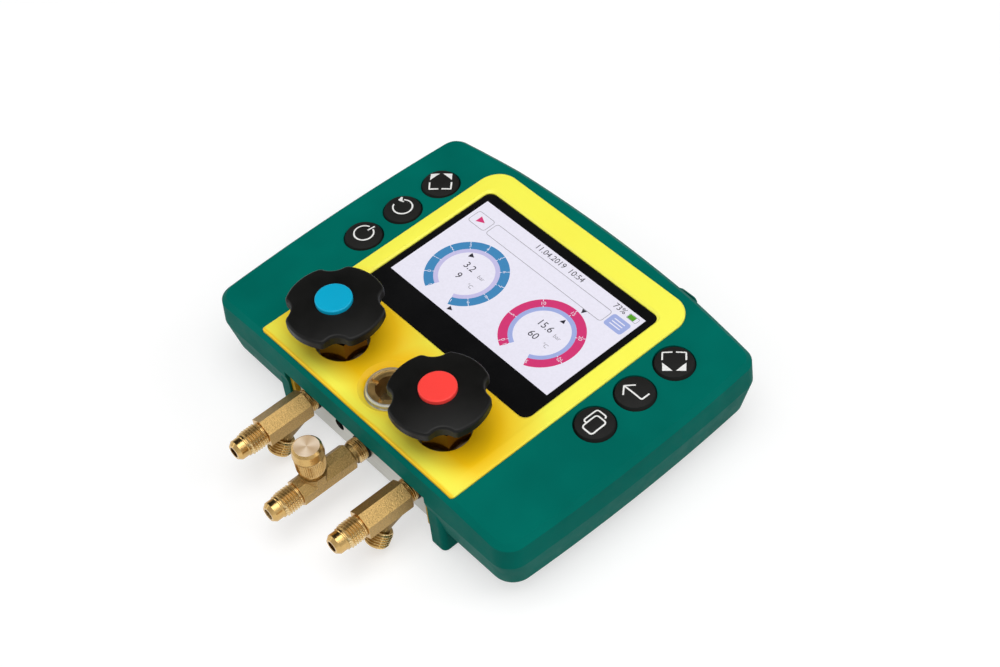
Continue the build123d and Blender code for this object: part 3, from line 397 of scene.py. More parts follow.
def thread_brass():
    """Cut thread with painted light: a painted highlight on the crests and painted shade in the roots"""
    tree = Tree("thread_brass")
    crest = tree.node("ShaderNodeAttribute", {"attribute_name": "crest"}, output=2)
    # Painted shade in the roots and a painted highlight on the crests, by the crest attribute
    body = tree.blend(crest, toned(colours().brass, 0.75), (1.0, 0.78, 0.42))
    return polished(tree, body, tree.span(crest, 0.0, 1.0, 0.30, 0.16), tree.noise(0.00022, 2.0, 0.5),
                    0.000008)


def forged(name, dim):
    """Forged and tumbled brass: orange-peel flats, brighter on the high spots"""
    spots = lambda t: t.noise(0.00055, 3.0, 0.65)
    peel = lambda t: spots(t) + t.noise(0.0020, 2.0) * 0.4
    return metal(name, toned(colours().brass, dim), (0.30, 0.48), peel, 0.00026, shade=0.40, drift=spots)


def forged_brass():
    return forged("forged_brass", 0.80)


def cast_brass():
    """The arm under a side fitting, with painted shade: the forged brass made much darker"""
    return forged("cast_brass", 0.40)


def bonnet_brass():
    """Machined hexagon with painted light: painted shade and dark reflection from the wheel above it, and a
    painted highlight on its upper chamfer
    """
    tree = Tree("bonnet_brass")
    top = high("high_valve_bonnet").z
    # Painted highlight on the upper chamfer, over brass darkened as painted shade under the wheel
    painted_highlight = tree.span(tree.split(tree.place(), 2), top - 0.0022, top - 0.0014, 0.0, 1.0)
    dark = [c * share for c, share in zip(colours().brass, (0.23, 0.20, 0.22))]
    fine = tree.noise(0.0005, 3.0, 0.6)
    return polished(tree, tree.blend(painted_highlight, dark, (0.80, 0.72, 0.60)),
                    tree.span(fine, 0.3, 0.7, 0.12, 0.20), fine, 0.000010)


def cap_brass():
    """Knurled and turned side of the cap"""
    fine = lambda t: t.noise(0.0002, 2.0, 0.5)
    return metal("cap_brass", colours().brass, (0.22, 0.32), fine, 0.000020)


def faced_brass():
    """Top of the cap, faced on a lathe: fine rings in its bump, and a painted sheen in its colour that fans
    out from its middle
    """
    tree = Tree("faced_brass")
    centre = middle("charging_cap")
    place = tree.place(shift=(-centre.x, -centre.y, 0.0))
    fan = tree.node("ShaderNodeTexGradient", {"gradient_type": "RADIAL"}, {"Vector": place})
    painted_sheen = (fan * (6 * math.pi) + 0.9).math("SINE") * 0.5 + 0.5
    rings = tree.node("ShaderNodeTexWave", {"wave_type": "RINGS", "rings_direction": "Z"},
                      {"Vector": place, "Scale": 900.0, "Distortion": 2.0, "Detail": 2.0}, output=1)
    # Painted sheen: the colour rises and falls three times round the middle
    body = tree.blend(painted_sheen, (0.84, 0.60, 0.36), (0.98, 0.80, 0.60))
    return polished(tree, body, tree.span(painted_sheen, 0.0, 1.0, 0.42, 0.56), rings, 0.00002, 0.6, metallic=0.55)


def block_aluminium():
    """Sawn and brushed block, lines running across its front"""
    lines = lambda t: t.noise(0.00035, 3.0, 0.6, t.place((0.02, 1.0, 1.0)))
    cloud = lambda t: t.noise(0.0011, 3.0, 0.6, t.place((0.04, 1.0, 1.0)))
    return metal("block_aluminium", colours().aluminium, (0.34, 0.5), lines, 0.00003, 0.14, cloud)


def washer_aluminium():
    fine = lambda t: t.noise(0.0003, 3.0)
    return metal("washer_aluminium", toned(colours().aluminium, 1.25), (0.42, 0.55), fine, 0.00001)


def steel():
    fine = lambda t: t.noise(0.0004, 3.0)
    return metal("steel", colours().steel, (0.22, 0.34), fine, 0.00001)


def dark_hole():
    # Near black: painted shade inside the block's drilled hole, and the dark colour of the hidden parts in
    # the case
    tree = Tree("dark_hole")
    shade = tree.mottled(tree.noise(0.002), 0.3, 0.7, (0.004, 0.004, 0.004), (0.012, 0.011, 0.010))
    return tree.finish(Base_Color=shade, Roughness=0.55)


def sight_lens():
    """Dark polished glass at the bottom of the sight hole"""
    tree = Tree("sight_lens")
    shade = tree.mottled(tree.noise(0.004), 0.3, 0.7, (0.010, 0.008, 0.004), (0.030, 0.022, 0.010))
    return tree.finish(Base_Color=shade, Roughness=0.05, Coat_Weight=1.0)


def window_glass():
    """Black printed border under polished glass"""
    tree = Tree("window_glass")
    smear = tree.noise(0.018, 3.0, 0.6)
    shade = tree.mottled(smear, 0.3, 0.75, (0.0045, 0.0046, 0.0050), (0.0075, 0.0075, 0.0080))
    gloss = tree.span(smear, 0.3, 0.7, 0.10, 0.17)
    return tree.finish(Base_Color=shade, Roughness=gloss, Specular_IOR_Level=0.30)


def lit(name, colour, glow=0.62, mottle=0.02):
    """A lit screen colour: a fine cell pattern, part glow and part paint"""
    tree = Tree(name)
    cells = tree.noise(0.0011, 1.0)
    body = tree.blend(tree.span(cells, 0.3, 0.7, 0.0, 1.0), toned(colour, 1 - mottle),
                      toned(colour, 1 + mottle))
    paint = tree.blend(1.0, body, (1 - glow, 1 - glow, 1 - glow), "MULTIPLY")
    return tree.finish(Base_Color=paint, Emission_Color=body, Emission_Strength=glow, Roughness=0.22,
                       Specular_IOR_Level=0.25)


def legend_ink():
    tree = Tree("legend_ink")
    worn = tree.mottled(tree.noise(0.0006, 4.0), 0.3, 0.6, toned(colours().legend, 0.9),
                        colours().legend)
    return tree.finish(Base_Color=worn, Roughness=0.5)


def board_lacquer():
    tree = Tree("board_lacquer")
    shade = tree.mottled(tree.noise(0.003), 0.3, 0.7, (0.010, 0.09, 0.030), (0.018, 0.13, 0.045))
    return tree.finish(Base_Color=shade, Roughness=0.35, Coat_Weight=0.4)


MAKERS = {
    "green": green_plastic, "panel": panel_plastic, "cradle": cradle_plastic, "black": black_plastic,
    "key": key_rubber, "rubber": dark_rubber, "green_rubber": green_rubber, "blue": blue_plastic,
    "red": red_plastic, "turned": turned_brass, "thread": thread_brass, "upright": upright_brass,
    "forged": forged_brass, "arm_shade": cast_brass, "bonnet": bonnet_brass, "cap": cap_brass,
    "faced": faced_brass, "block": block_aluminium, "washer": washer_aluminium, "steel": steel,
    "hole": dark_hole, "lens": sight_lens, "glass": window_glass, "legend": legend_ink,
    "board": board_lacquer,
    "screen": lambda: lit("screen_white", colours().screen),
    "ring_low": lambda: lit("screen_blue", colours().gauge_low),
    "ring_high": lambda: lit("screen_crimson", colours().gauge_high),
    "ink": lambda: lit("screen_ink", colours().ink),
    "grey": lambda: lit("screen_grey", colours().grey),
    "lilac": lambda: lit("screen_lilac", colours().lilac),
    "sky": lambda: lit("screen_sky", colours().sky),
    "charge": lambda: lit("screen_charge", colours().charge),
}


def dress(node, name):
    """Gives a CAD node its finish"""
    data = NODES[node].data
    data.materials.clear()
    data.materials.append(finish(name))


# ------------------------------------------------------------------ mesh helpers
MERGE = 0.002 * MM          # points closer than this are one point
NEAR = 0.05 * MM            # a face or corner within this is on a plane
CAPITALS = 0.70             # height of a capital as a share of the font's size


def new_piece(name, verts, faces, body, finish_name, smooth=False):
    """A mesh piece that rides on a body"""
    mesh = bpy.data.meshes.new(name)
    mesh.from_pydata([tuple(v) for v in verts], [], faces)
    mesh.update()
    return settle(name, mesh, body, finish_name, smooth)


def settle(name, mesh, body, finish_name, smooth=False):
    piece = bpy.data.objects.new(name, mesh)
    bpy.context.scene.collection.objects.link(piece)
    if finish_name:
        mesh.materials.clear()
        mesh.materials.append(finish(finish_name))
    for face in mesh.polygons:
        face.use_smooth = smooth
    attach(piece, body)
    return piece


def own_copy(node, name, angle=28.0):
    """A copy of a CAD node's mesh, merged, with smooth faces up to an angle in degrees"""
    mesh = NODES[node].data.copy()
    mesh.name = name
    smooth_to(mesh, angle)
    return mesh


def smooth_to(mesh, angle):
    """Merges a mesh and smooths it, with edges sharper than an angle in degrees left crisp"""
    work = bmesh.new()
    work.from_mesh(mesh)
    bmesh.ops.remove_doubles(work, verts=work.verts, dist=MERGE)
    for edge in work.edges:
        edge.smooth = len(edge.link_faces) == 2 and edge.calc_face_angle(0.0) <= math.radians(angle)
    for face in work.faces:
        face.smooth = True
    work.to_mesh(mesh)
    work.free()


def band_edges(points, line):
    """The left and the right edge of a band of a given width along a path in a plane"""
    edges = []
    for side in (0.5, -0.5):
        row = []
        for i, point in enumerate(points):
            before = points[max(i - 1, 0)]
            after = points[min(i + 1, len(points) - 1)]
            along = (Vector(after) - Vector(before)).normalized()
            row.append(Vector(point) + Vector((-along.y, along.x)) * line * side)
        edges.append(row)
    return edges


def joined_faces(parts):
    """Puts several (verts, faces) lists into one"""
    verts, faces = [], []
    for more_verts, more_faces in parts:
        start = len(verts)
        verts += more_verts
        faces += [[start + i for i in face] for face in more_faces]
    return verts, faces


def thick_plate(outline, z, film):
    """A thin plate on an outline of (x, y) points, counterclockwise, with closed sides"""
    count = len(outline)
    verts = [(x, y, z) for x, y in outline] + [(x, y, z + film) for x, y in outline]
    faces = [list(range(count - 1, -1, -1)), list(range(count, 2 * count))]
    faces += [[i, (i + 1) % count, count + (i + 1) % count, count + i] for i in range(count)]
    return verts, faces


def band_plate(points, line, z, film):
    """A thin strip along a path"""
    count = len(points)
    left, right = band_edges(points, line)
    verts = [(p.x, p.y, z) for p in right + left] + [(p.x, p.y, z + film) for p in right + left]
    faces = []
    top = 2 * count
    for i in range(count - 1):
        faces.append([top + i, top + i + 1, top + count + i + 1, top + count + i])
        faces.append([count + i, count + i + 1, i + 1, i])
        faces.append([i, i + 1, top + i + 1, top + i])
        faces.append([count + i + 1, count + i, top + count + i, top + count + i + 1])
    for i in (0, count - 1):
        quad = [i, count + i, top + count + i, top + i]
        faces.append(quad if i else quad[::-1])
    return verts, faces


def leftward(points):
    """An outline's points, counterclockwise"""
    area = sum(a[0] * b[1] - b[0] * a[1] for a, b in zip(points, points[1:] + points[:1]))
    return points if area > 0 else points[::-1]


def even(path, step=0.5 * MM):
    """Adds points along the straight runs of a path, so that it can lie on a dome"""
    points = [Vector(path[0])]
    for end in path[1:]:
        start = points[-1]
        end = Vector(end)
        count = max(1, round((end - start).length / step))
        points += [start.lerp(end, (i + 1) / count) for i in range(count)]
    return points


def fine_plate(outline, z, film, cuts=5):
    """A plate cut into many small faces, so that it can lie on a dome"""
    work = bmesh.new()
    verts, faces = thick_plate(outline, z, film)
    made = [work.verts.new(v) for v in verts]
    for face in faces:
        work.faces.new([made[i] for i in face])
    bmesh.ops.subdivide_edges(work, edges=work.edges, cuts=cuts, use_grid_fill=True)
    work.verts.index_update()
    result = [tuple(v.co) for v in work.verts], [[v.index for v in f.verts] for f in work.faces]
    work.free()
    return result


def arc_points(centre, radius, start, end, steps=24):
    """Points on an arc, angles in degrees"""
    points = []
    for i in range(steps + 1):
        angle = math.radians(start + (end - start) * i / steps)
        points.append((centre[0] + radius * math.cos(angle), centre[1] + radius * math.sin(angle)))
    return points


def round_box(x0, x1, y0, y1, radius, steps=5):
    """Outline of a rectangle with round corners, counterclockwise"""
    points = []
    for cx, cy, start in ((x1 - radius, y0 + radius, -90), (x1 - radius, y1 - radius, 0),
                          (x0 + radius, y1 - radius, 90), (x0 + radius, y0 + radius, 180)):
        points += arc_points((cx, cy), radius, start, start + 90, steps)
    return points


def box_frame(x0, x1, y0, y1, radius):
    """The closed path of a rounded frame for band_plate"""
    points = round_box(x0, x1, y0, y1, radius)
    return points + [points[0]]


def text_mesh(words, height, place):
    """A line of plain figures as a flat mesh, its capitals a given height"""
    curve = bpy.data.curves.new("figures", "FONT")
    curve.body = words
    curve.size = height / CAPITALS
    curve.align_x = "CENTER"
    curve.align_y = "CENTER"
    curve.resolution_u = 4
    thing = bpy.data.objects.new("figures", curve)
    bpy.context.scene.collection.objects.link(thing)
    bpy.context.view_layer.update()
    mesh = bpy.data.meshes.new_from_object(thing)
    bpy.data.objects.remove(thing)
    mesh.transform(place)
    verts = [tuple(v.co) for v in mesh.vertices]
    faces = [list(p.vertices) for p in mesh.polygons]
    return verts, faces


def at(x, y, z, turn=0.0):
    """Carries a flat mesh to a place, turned in its plane"""
    return Matrix.Translation((x, y, z)) @ Matrix.Rotation(turn, 4, "Z")


# ------------------------------------------------------------------ Geometry Nodes
SEAM = 0.001 * MM           # gap closed where a rolled sheet meets itself
THREAD_ROWS = 12            # rows of points in one pitch
KNURL_ROWS = 14             # rows of points up the knurls, and points across one
KNURL_POINTS = 6


class Growth(Nodes):
    """Builds a Geometry Nodes tree with named inputs, and turns its result into a plain mesh"""

    def __init__(self, name, inputs):
        self.tree = bpy.data.node_groups.new(name, "GeometryNodeTree")
        super().__init__(self.tree)
        self.values = {}
        face = self.tree.interface
        face.new_socket("Geometry", in_out="INPUT", socket_type="NodeSocketGeometry")
        for key, value in inputs.items():
            kind = "NodeSocketInt" if isinstance(value, int) else "NodeSocketFloat"
            socket = face.new_socket(key, in_out="INPUT", socket_type=kind)
            self.values[socket.identifier] = value
        face.new_socket("Geometry", in_out="OUTPUT", socket_type="NodeSocketGeometry")
        self.source = self.nodes.new("NodeGroupInput")

    def given(self, name):
        return Socket(self, self.source.outputs[name])

    def sheet(self):
        """A flat grid to roll up: the grid, the share of a turn across it and the place up it"""
        grid = self.node("GeometryNodeMeshGrid", None,
                         {"Size X": 1.0, "Size Y": self.given("Length"),
                          "Vertices X": self.given("Steps"), "Vertices Y": self.given("Rows")})
        place = self.node("GeometryNodeInputPosition")
        return grid, self.split(place, 0), self.split(place, 1)

    def rolled(self, grid, across, reach, height):
        """The grid rolled up about Z, at its own radius and height at each point"""
        turn = across * (2 * math.pi)
        spot = self.node("ShaderNodeCombineXYZ", None,
                         {0: turn.math("COSINE") * reach, 1: turn.math("SINE") * reach, 2: height})
        return self.node("GeometryNodeSetPosition", None, {"Geometry": grid, "Position": spot})

    def grow(self, geometry, material, name):
        """Closes the seam, evaluates the tree on an empty mesh and returns the plain mesh"""
        merged = self.node("GeometryNodeMergeByDistance", None, {"Geometry": geometry, "Distance": SEAM})
        painted = self.node("GeometryNodeSetMaterial", None, {"Geometry": merged, "Material": material})
        end = self.nodes.new("NodeGroupOutput")
        self.links.new(painted.link, end.inputs[0])
        holder = bpy.data.objects.new(name, bpy.data.meshes.new(name))
        bpy.context.scene.collection.objects.link(holder)
        modifier = holder.modifiers.new("Grow", "NODES")
        modifier.node_group = self.tree
        for identifier, value in self.values.items():
            modifier[identifier] = value
        mesh = evaluated(holder)
        mesh.name = name
        return mesh


def evaluated(holder):
    """The mesh that an object's modifiers make; the object itself is removed"""
    graph = bpy.context.evaluated_depsgraph_get()
    mesh = bpy.data.meshes.new_from_object(holder.evaluated_get(graph))
    holder.modifiers.clear()
    bpy.data.objects.remove(holder)
    return mesh


def thread_mesh(name, length, radius, material, depth=None, pitch=None):
    """A helical thread about Z from z = 0 up, with tapered ends, as a closed sleeve"""
    size = sizes()
    pitch = pitch or size.pitch
    rows = round(length / pitch * THREAD_ROWS)
    growth = Growth(name, {"Length": length, "Radius": radius, "Pitch": pitch,
                           "Depth": depth or size.thread_depth, "Steps": size.round_steps + 1,
                           "Rows": rows + 1})
    length_in, depth_in, pitch_in = (growth.given(key) for key in ("Length", "Depth", "Pitch"))
    grid, across, up = growth.sheet()
    height = up + length_in * 0.5
    phase = (height / pitch_in - across).math("FRACT")
    ridge = (phase - 0.5).math("ABSOLUTE") * 2.0
    crest = (ridge * 1.5 - 0.25).math("MAXIMUM", 0.0).math("MINIMUM", 1.0)
    near = height.math("MINIMUM", length_in - height) / pitch_in
    fade = near.math("MINIMUM", 1.0).math("MAXIMUM", 0.0)
    reach = growth.given("Radius") - depth_in + (crest * fade) * depth_in
    shaped = growth.rolled(grid, across, reach, height)
    marked = growth.node("GeometryNodeStoreNamedAttribute", {"data_type": "FLOAT", "domain": "POINT"},
                         {"Geometry": shaped, "Name": "crest", "Value": crest * fade})
    return growth.grow(marked, material, name)


def knurl_mesh(name, base_r, top_r, length, material):
    """A knurled skirt about Z: straight ridges on a slightly tapered sleeve"""
    size = sizes()
    growth = Growth(name, {"Length": length, "Base": base_r, "Top": top_r, "Knurls": size.knurls,
                           "Depth": size.knurl_depth, "Steps": size.knurls * KNURL_POINTS + 1,
                           "Rows": KNURL_ROWS + 1})
    length_in, base_in, depth_in = (growth.given(key) for key in ("Length", "Base", "Depth"))
    grid, across, up = growth.sheet()
    share = up / length_in + 0.5
    ridge = ((across * growth.given("Knurls")).math("FRACT") - 0.5).math("ABSOLUTE") * 2.0
    near = share.math("MINIMUM", share * -1.0 + 1.0) * 9.0
    fade = near.math("MINIMUM", 1.0).math("MAXIMUM", 0.0)
    wide = base_in + (growth.given("Top") - base_in) * share
    reach = wide - depth_in + ridge * fade * depth_in
    return growth.grow(growth.rolled(grid, across, reach, share * length_in), material, name)


# ------------------------------------------------------------------ fittings
FLARE_LEAD = 5.7 * MM       # tip to the start of the thread
FLARE_THREAD = 8.6 * MM
STUB_THREAD = 7.4 * MM
STUB_LENGTH = 21.0 * MM
STUB_ROOT_Y = -79.0 * MM
STUB_LEAN = math.radians(35.0)
TEE_THREAD = 8.6 * MM
CHARGING_Z = 20.0 * MM      # axis of the charging port
UNDERCUT = 0.05 * MM        # of a thread's bed below its roots
TURNED_PAST = 0.8 * MM      # how far the turned finish runs past a thread
NECK_R = 5.45 * MM          # of the thread between a fitting and the block
NECK_DEPTH = 0.45 * MM
NECK_Y = -72.7 * MM         # where a side fitting's bar ends
SIDE_NECK = (-72.8 * MM, 3.0 * MM, 1.0 * MM)        # start, length and pitch
CHARGING_NECK = (-74.6 * MM, 4.8 * MM, 0.9 * MM)
ARM_SHADE_DROP = 3.2 * MM        # below a port's axis, where the painted shade on the arm begins
CAP_HEAD = 5.6 * MM         # plain top of the cap, above its knurls
CAP_RIM = 1.0 * MM          # plain foot of the cap
CAP_WALL_R = 5.85 * MM      # inside this, the cap's skirt is its bore
CAP_INSET = 0.1 * MM        # of the skirt below the knurls' roots
KNURL_R = (6.40 * MM, 6.66 * MM)                    # over the knurls, at the foot and the head


def undercut(mesh, origin, axis, start, end, deep):
    """Draws the plain wall of a thread in, so that a cut thread can stand in its place"""
    origin, axis = Vector(origin), Vector(axis).normalized()
    for vertex in mesh.vertices:
        offset = vertex.co - origin
        along = offset.dot(axis)
        side = offset - axis * along
        if start - NEAR <= along <= end + NEAR and abs(side.length - THREAD_R) < NEAR:
            vertex.co = origin + axis * along + side * ((THREAD_R - deep) / THREAD_R)


def aligned(axis, origin):
    """Carries a mesh built up +Z onto an axis"""
    turn = Vector((0, 0, 1)).rotation_difference(Vector(axis).normalized()).to_matrix().to_4x4()
    return Matrix.Translation(origin) @ turn


def fitting(node, ends, body):
    """A fitting with its forged skin and one cut thread for each (origin, axis, start, length)"""
    deep = sizes().thread_depth + UNDERCUT
    mesh = own_copy(node, node + "_skin")
    for origin, axis, start, length in ends:
        undercut(mesh, origin, axis, start, start + length, deep)
    piece = settle(node + "_skin", mesh, body, "forged", True)
    paint_turned(piece, ends)
    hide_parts(node)
    for i, (origin, axis, start, length) in enumerate(ends):
        thread = thread_mesh("%s_thread_%d" % (node, i), length, THREAD_R, finish("thread"))
        thread.transform(aligned(axis, Vector(origin) + Vector(axis).normalized() * start))
        settle(thread.name, thread, body, None, True)
    return piece


def paint_turned(piece, ends):
    """Gives the turned faces round each thread's axis, and the neck, the turned finish"""
    mesh = piece.data
    mesh.materials.append(finish("turned"))
    for face in mesh.polygons:
        if face.center.y > NECK_Y:
            face.material_index = 1
        for origin, axis, start, length in ends:
            axis = Vector(axis).normalized()
            offset = face.center - Vector(origin)
            along = offset.dot(axis)
            side = (offset - axis * along).length
            if -TURNED_PAST < along < start + length + TURNED_PAST and side < THREAD_R + NEAR:
                face.material_index = 1


class GAUGE_OT_fittings(bpy.types.Operator):
    """Side fittings with their leaning stubs, and the charging fitting with its tee"""

    bl_idname = "gauge.fittings"
    bl_label = "Fittings"

    def execute(self, context):
        back = Vector((0, 1, 0))
        for side in SIDES:
            node = side + "_side_fitting"
            tip = low(node)
            x = middle(node).x
            z = middle(side + "_pressure_sensor").z
            stub = Vector((0, -math.sin(STUB_LEAN), -math.cos(STUB_LEAN)))
            root = Vector((x, STUB_ROOT_Y, z))
            ends = [(Vector((x, tip.y, z)), back, FLARE_LEAD, FLARE_THREAD),
                    (root + stub * STUB_LENGTH, -stub, 0.0, STUB_THREAD)]
            self.arm(fitting(node, ends, "housing"), z)
            self.neck(node, x, z, *SIDE_NECK)
        node = "charging_fitting"
        tip = low(node)
        x = middle(node).x
        tee = Vector((x, middle("charging_cap").y, high(node).z))
        ends = [(Vector((x, tip.y, CHARGING_Z)), back, FLARE_LEAD, FLARE_THREAD),
                (tee, Vector((0, 0, -1)), 0.0, TEE_THREAD)]
        fitting(node, ends, "housing")
        self.neck(node, x, CHARGING_Z, *CHARGING_NECK)
        return {"FINISHED"}

    def arm(self, piece, port_z):
        """Painted shade on the arm below the bar"""
        mesh = piece.data
        mesh.materials.append(finish("arm_shade"))
        for face in mesh.polygons:
            if face.material_index == 0 and face.center.z < port_z - ARM_SHADE_DROP:
                face.material_index = 2

    def neck(self, node, x, z, start_y, length, pitch):
        """Fine thread between a fitting and the block"""
        thread = thread_mesh(node + "_neck", length, NECK_R, finish("thread"), NECK_DEPTH, pitch)
        thread.transform(aligned((0, 1, 0), Vector((x, start_y, z))))
        settle(thread.name, thread, "housing", None, True)


class GAUGE_OT_cap(bpy.types.Operator):
    """Knurled cap of the charging tee"""

    bl_idname = "gauge.cap"
    bl_label = "Charging cap"

    def execute(self, context):
        mesh = own_copy("charging_cap", "charging_cap_skin")
        bottom, top = low("charging_cap"), high("charging_cap")
        centre = middle("charging_cap")
        head = top.z - CAP_HEAD
        for vertex in mesh.vertices:
            side = Vector((vertex.co.x - centre.x, vertex.co.y - centre.y))
            if vertex.co.z < head - NEAR and side.length > CAP_WALL_R:
                shrink = (side.length - sizes().knurl_depth - CAP_INSET) / side.length
                vertex.co.x = centre.x + side.x * shrink
                vertex.co.y = centre.y + side.y * shrink
        skin = settle(mesh.name, mesh, "cap_spinner", "cap", True)
        skin.data.materials.append(finish("faced"))
        for face in skin.data.polygons:
            if face.center.z > top.z - NEAR:
                face.material_index = 1
        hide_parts("charging_cap")
        start = bottom.z + CAP_RIM
        knurl = knurl_mesh("charging_cap_knurl", *KNURL_R, head - start, finish("cap"))
        knurl.transform(Matrix.Translation((centre.x, centre.y, start)))
        settle(knurl.name, knurl, "cap_spinner", None, False)
        return {"FINISHED"}


# ------------------------------------------------------------------ housing and valves
HOLE = Vector((-15.3, 0.0, 20.5)) * MM       # drilled hole of the block
HOLE_R = 2.9 * MM                            # its wall and floor lie within this
HOLE_DEPTH = 9.6 * MM
LIP_Z = 29.6 * MM                            # underside of the frame's lip over the fittings
LIP_TRIM = 2.7 * MM                          # cut off it
LIP_DEPTH = 6.0 * MM                         # how far back the lip runs from the block's front
LIP_SIDE = 4.0 * MM                          # and how far out past its sides
PANEL_SMOOTH = 24.0                          # degrees, for the panel's and the frame's round edges
CHEEK_PROUD = 1.8 * MM                       # cradle's cheeks past the front of the block
WELL_R = 11.0 * MM                           # opening in the panel
WELL_DEPTH = 2.3 * MM                        # floor of the dish below the panel's face
WELL_ROUND = 3.2 * MM                        # rounding from the opening into the floor
WELL_RISE = 2.7 * MM                         # slope from the floor up past the face
WELL_SLOPE = 3.4                             # run of that slope for its rise
WELL_CUT = 7.04 * MM                         # depth of the cut below the floor
PLAIN = {
    "green": ("rear_shell", "battery_door"),
    "glass": ("display_window",),
    "washer": ("bonnet_washers", "sight_glass_ring"),
    "bonnet": ("low_valve_bonnet", "high_valve_bonnet"),
    "upright": ("sight_glass_body", "charging_core", "gallery_plugs", "low_piston", "high_piston"),
    "lens": ("sight_glass_lens",),
    "black": ("low_handwheel", "high_handwheel"),
    "blue": ("low_wheel_cap",),
    "red": ("high_wheel_cap",),
    "key": tuple("button_" + key for key in KEYS),
    "rubber": ("port_seals", "sensor_seals", "cap_seal", "low_piston_seal", "high_piston_seal"),
    "green_rubber": ("usb_cover",),
    "board": ("main_board", "key_board_left", "key_board_right"),
    "hole": ("board_components", "key_switches", "battery_cells"),
    "screen": ("lcd_panel",),
    "steel": ("low_stem", "high_stem", "low_wheel_screw", "high_wheel_screw", "low_pressure_sensor",
              "high_pressure_sensor", "core_pin", "board_screws", "battery_contacts", "door_screws",
              "usb_socket", "case_screws", "block_screws", "hanging_hook", "hook_pin"),
}


def lathe(name, profile, centre, steps=96):
    """A closed solid turned about an upright axis, from (radius, z) points that start and end on it"""
    verts, faces = [], []
    count = len(profile)
    for step in range(steps):
        angle = 2 * math.pi * step / steps
        verts += [(centre.x + r * math.cos(angle), centre.y + r * math.sin(angle), z) for r, z in profile]
        here, there = step * count, (step + 1) % steps * count
        faces += [[here + i, there + i, there + i + 1, here + i + 1] for i in range(count - 1)]
    mesh = bpy.data.meshes.new(name)
    mesh.from_pydata(verts, [], faces)
    work = bmesh.new()
    work.from_mesh(mesh)
    bmesh.ops.remove_doubles(work, verts=work.verts, dist=SEAM)
    bmesh.ops.recalc_face_normals(work, faces=work.faces)
    work.to_mesh(mesh)
    work.free()
    return mesh


def dished_well(mesh):
    """Turns a rounded dish into the panel round the sight glass"""
    floor = high("front_panel").z - WELL_DEPTH
    arc = [(WELL_R + WELL_ROUND * (1 - math.cos(a)), floor - WELL_ROUND * (1 - math.sin(a)))
           for a in (math.radians(5 * i) for i in range(19))]
    top = floor + WELL_RISE
    profile = [(0.0, floor - WELL_CUT), (WELL_R, floor - WELL_CUT), *arc,
               (WELL_R + WELL_ROUND + WELL_RISE * WELL_SLOPE, top), (0.0, top)]
    cutter = bpy.data.objects.new("well_cutter", lathe("well_cutter", profile, Vector((0.0, WELL_Y, 0.0))))
    holder = bpy.data.objects.new("well_holder", mesh)
    for thing in (cutter, holder):
        bpy.context.scene.collection.objects.link(thing)
    cut = holder.modifiers.new("Dish", "BOOLEAN")
    cut.operation, cut.solver, cut.object = "DIFFERENCE", "EXACT", cutter
    dished = evaluated(holder)
    bpy.data.objects.remove(cutter)
    dished.name = mesh.name + "_dished"
    smooth_to(dished, PANEL_SMOOTH)
    return dished


class GAUGE_OT_panel(bpy.types.Operator):
    """Yellow panel, with a turned dish round the sight glass"""

    bl_idname = "gauge.panel"
    bl_label = "Front panel"

    def execute(self, context):
        mesh = dished_well(own_copy("front_panel", "front_panel_flat", PANEL_SMOOTH))
        skin = settle("front_panel_skin", mesh, "housing", "panel", True)
        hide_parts("front_panel")
        return {"FINISHED"}


class GAUGE_OT_block(bpy.types.Operator):
    """Valve block, with painted shade inside its drilled hole"""

    bl_idname = "gauge.block"
    bl_label = "Valve block"

    def execute(self, context):
        mesh = own_copy("manifold_block", "manifold_block_skin")
        front = low("manifold_block").y
        skin = settle(mesh.name, mesh, "housing", "block", True)
        mesh.materials.append(finish("hole"))
        # Faces inside the drilled hole take the painted shade
        for face in mesh.polygons:
            side = face.center - HOLE
            if front + NEAR < face.center.y < front + HOLE_DEPTH:
                face.material_index = int(Vector((side.x, side.z)).length < HOLE_R)
        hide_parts("manifold_block")
        return {"FINISHED"}


class GAUGE_OT_cradle(bpy.types.Operator):
    """Yellow cradle with its cheeks brought forward past the block"""

    bl_idname = "gauge.cradle"
    bl_label = "Block cradle"

    def execute(self, context):
        mesh = own_copy("block_cradle", "block_cradle_skin")
        side = high("manifold_block").x - NEAR
        front = low("block_cradle").y + NEAR
        cheek = low("manifold_block").y - CHEEK_PROUD
        for vertex in mesh.vertices:
            if vertex.co.y < front and abs(vertex.co.x) > side:
                vertex.co.y = cheek
        skin = settle(mesh.name, mesh, "housing", "cradle", True)
        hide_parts("block_cradle")
        return {"FINISHED"}


class GAUGE_OT_frame(bpy.types.Operator):
    """Green frame with the lip over the fittings trimmed back"""

    bl_idname = "gauge.frame"
    bl_label = "Front frame"

    def execute(self, context):
        mesh = own_copy("front_frame", "front_frame_skin", PANEL_SMOOTH)
        side = high("manifold_block").x + LIP_SIDE
        back = low("manifold_block").y + LIP_DEPTH
        for vertex in mesh.vertices:
            co = vertex.co
            if abs(co.z - LIP_Z) < NEAR and co.y < back and abs(co.x) < side:
                co.z += LIP_TRIM
        skin = settle(mesh.name, mesh, "housing", "green", True)
        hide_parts("front_frame")
        return {"FINISHED"}


class GAUGE_OT_finishes(bpy.types.Operator):
    """Finishes of every node that keeps its own shape"""

    bl_idname = "gauge.finishes"
    bl_label = "Finishes"

    def execute(self, context):
        for name, nodes in PLAIN.items():
            for node in nodes:
                dress(node, name)
        return {"FINISHED"}


# ------------------------------------------------------------------ key legends
KEY_R = 8.1 * MM
KEY_DOME = 0.6 * MM         # rise of a key's top over its edge
LEGEND_SHIFT = 0.7 * MM     # of the low side's legends, out and back from the keys' middles
LEGEND_SINK = 0.3           # share of a legend's thickness that lies in the key


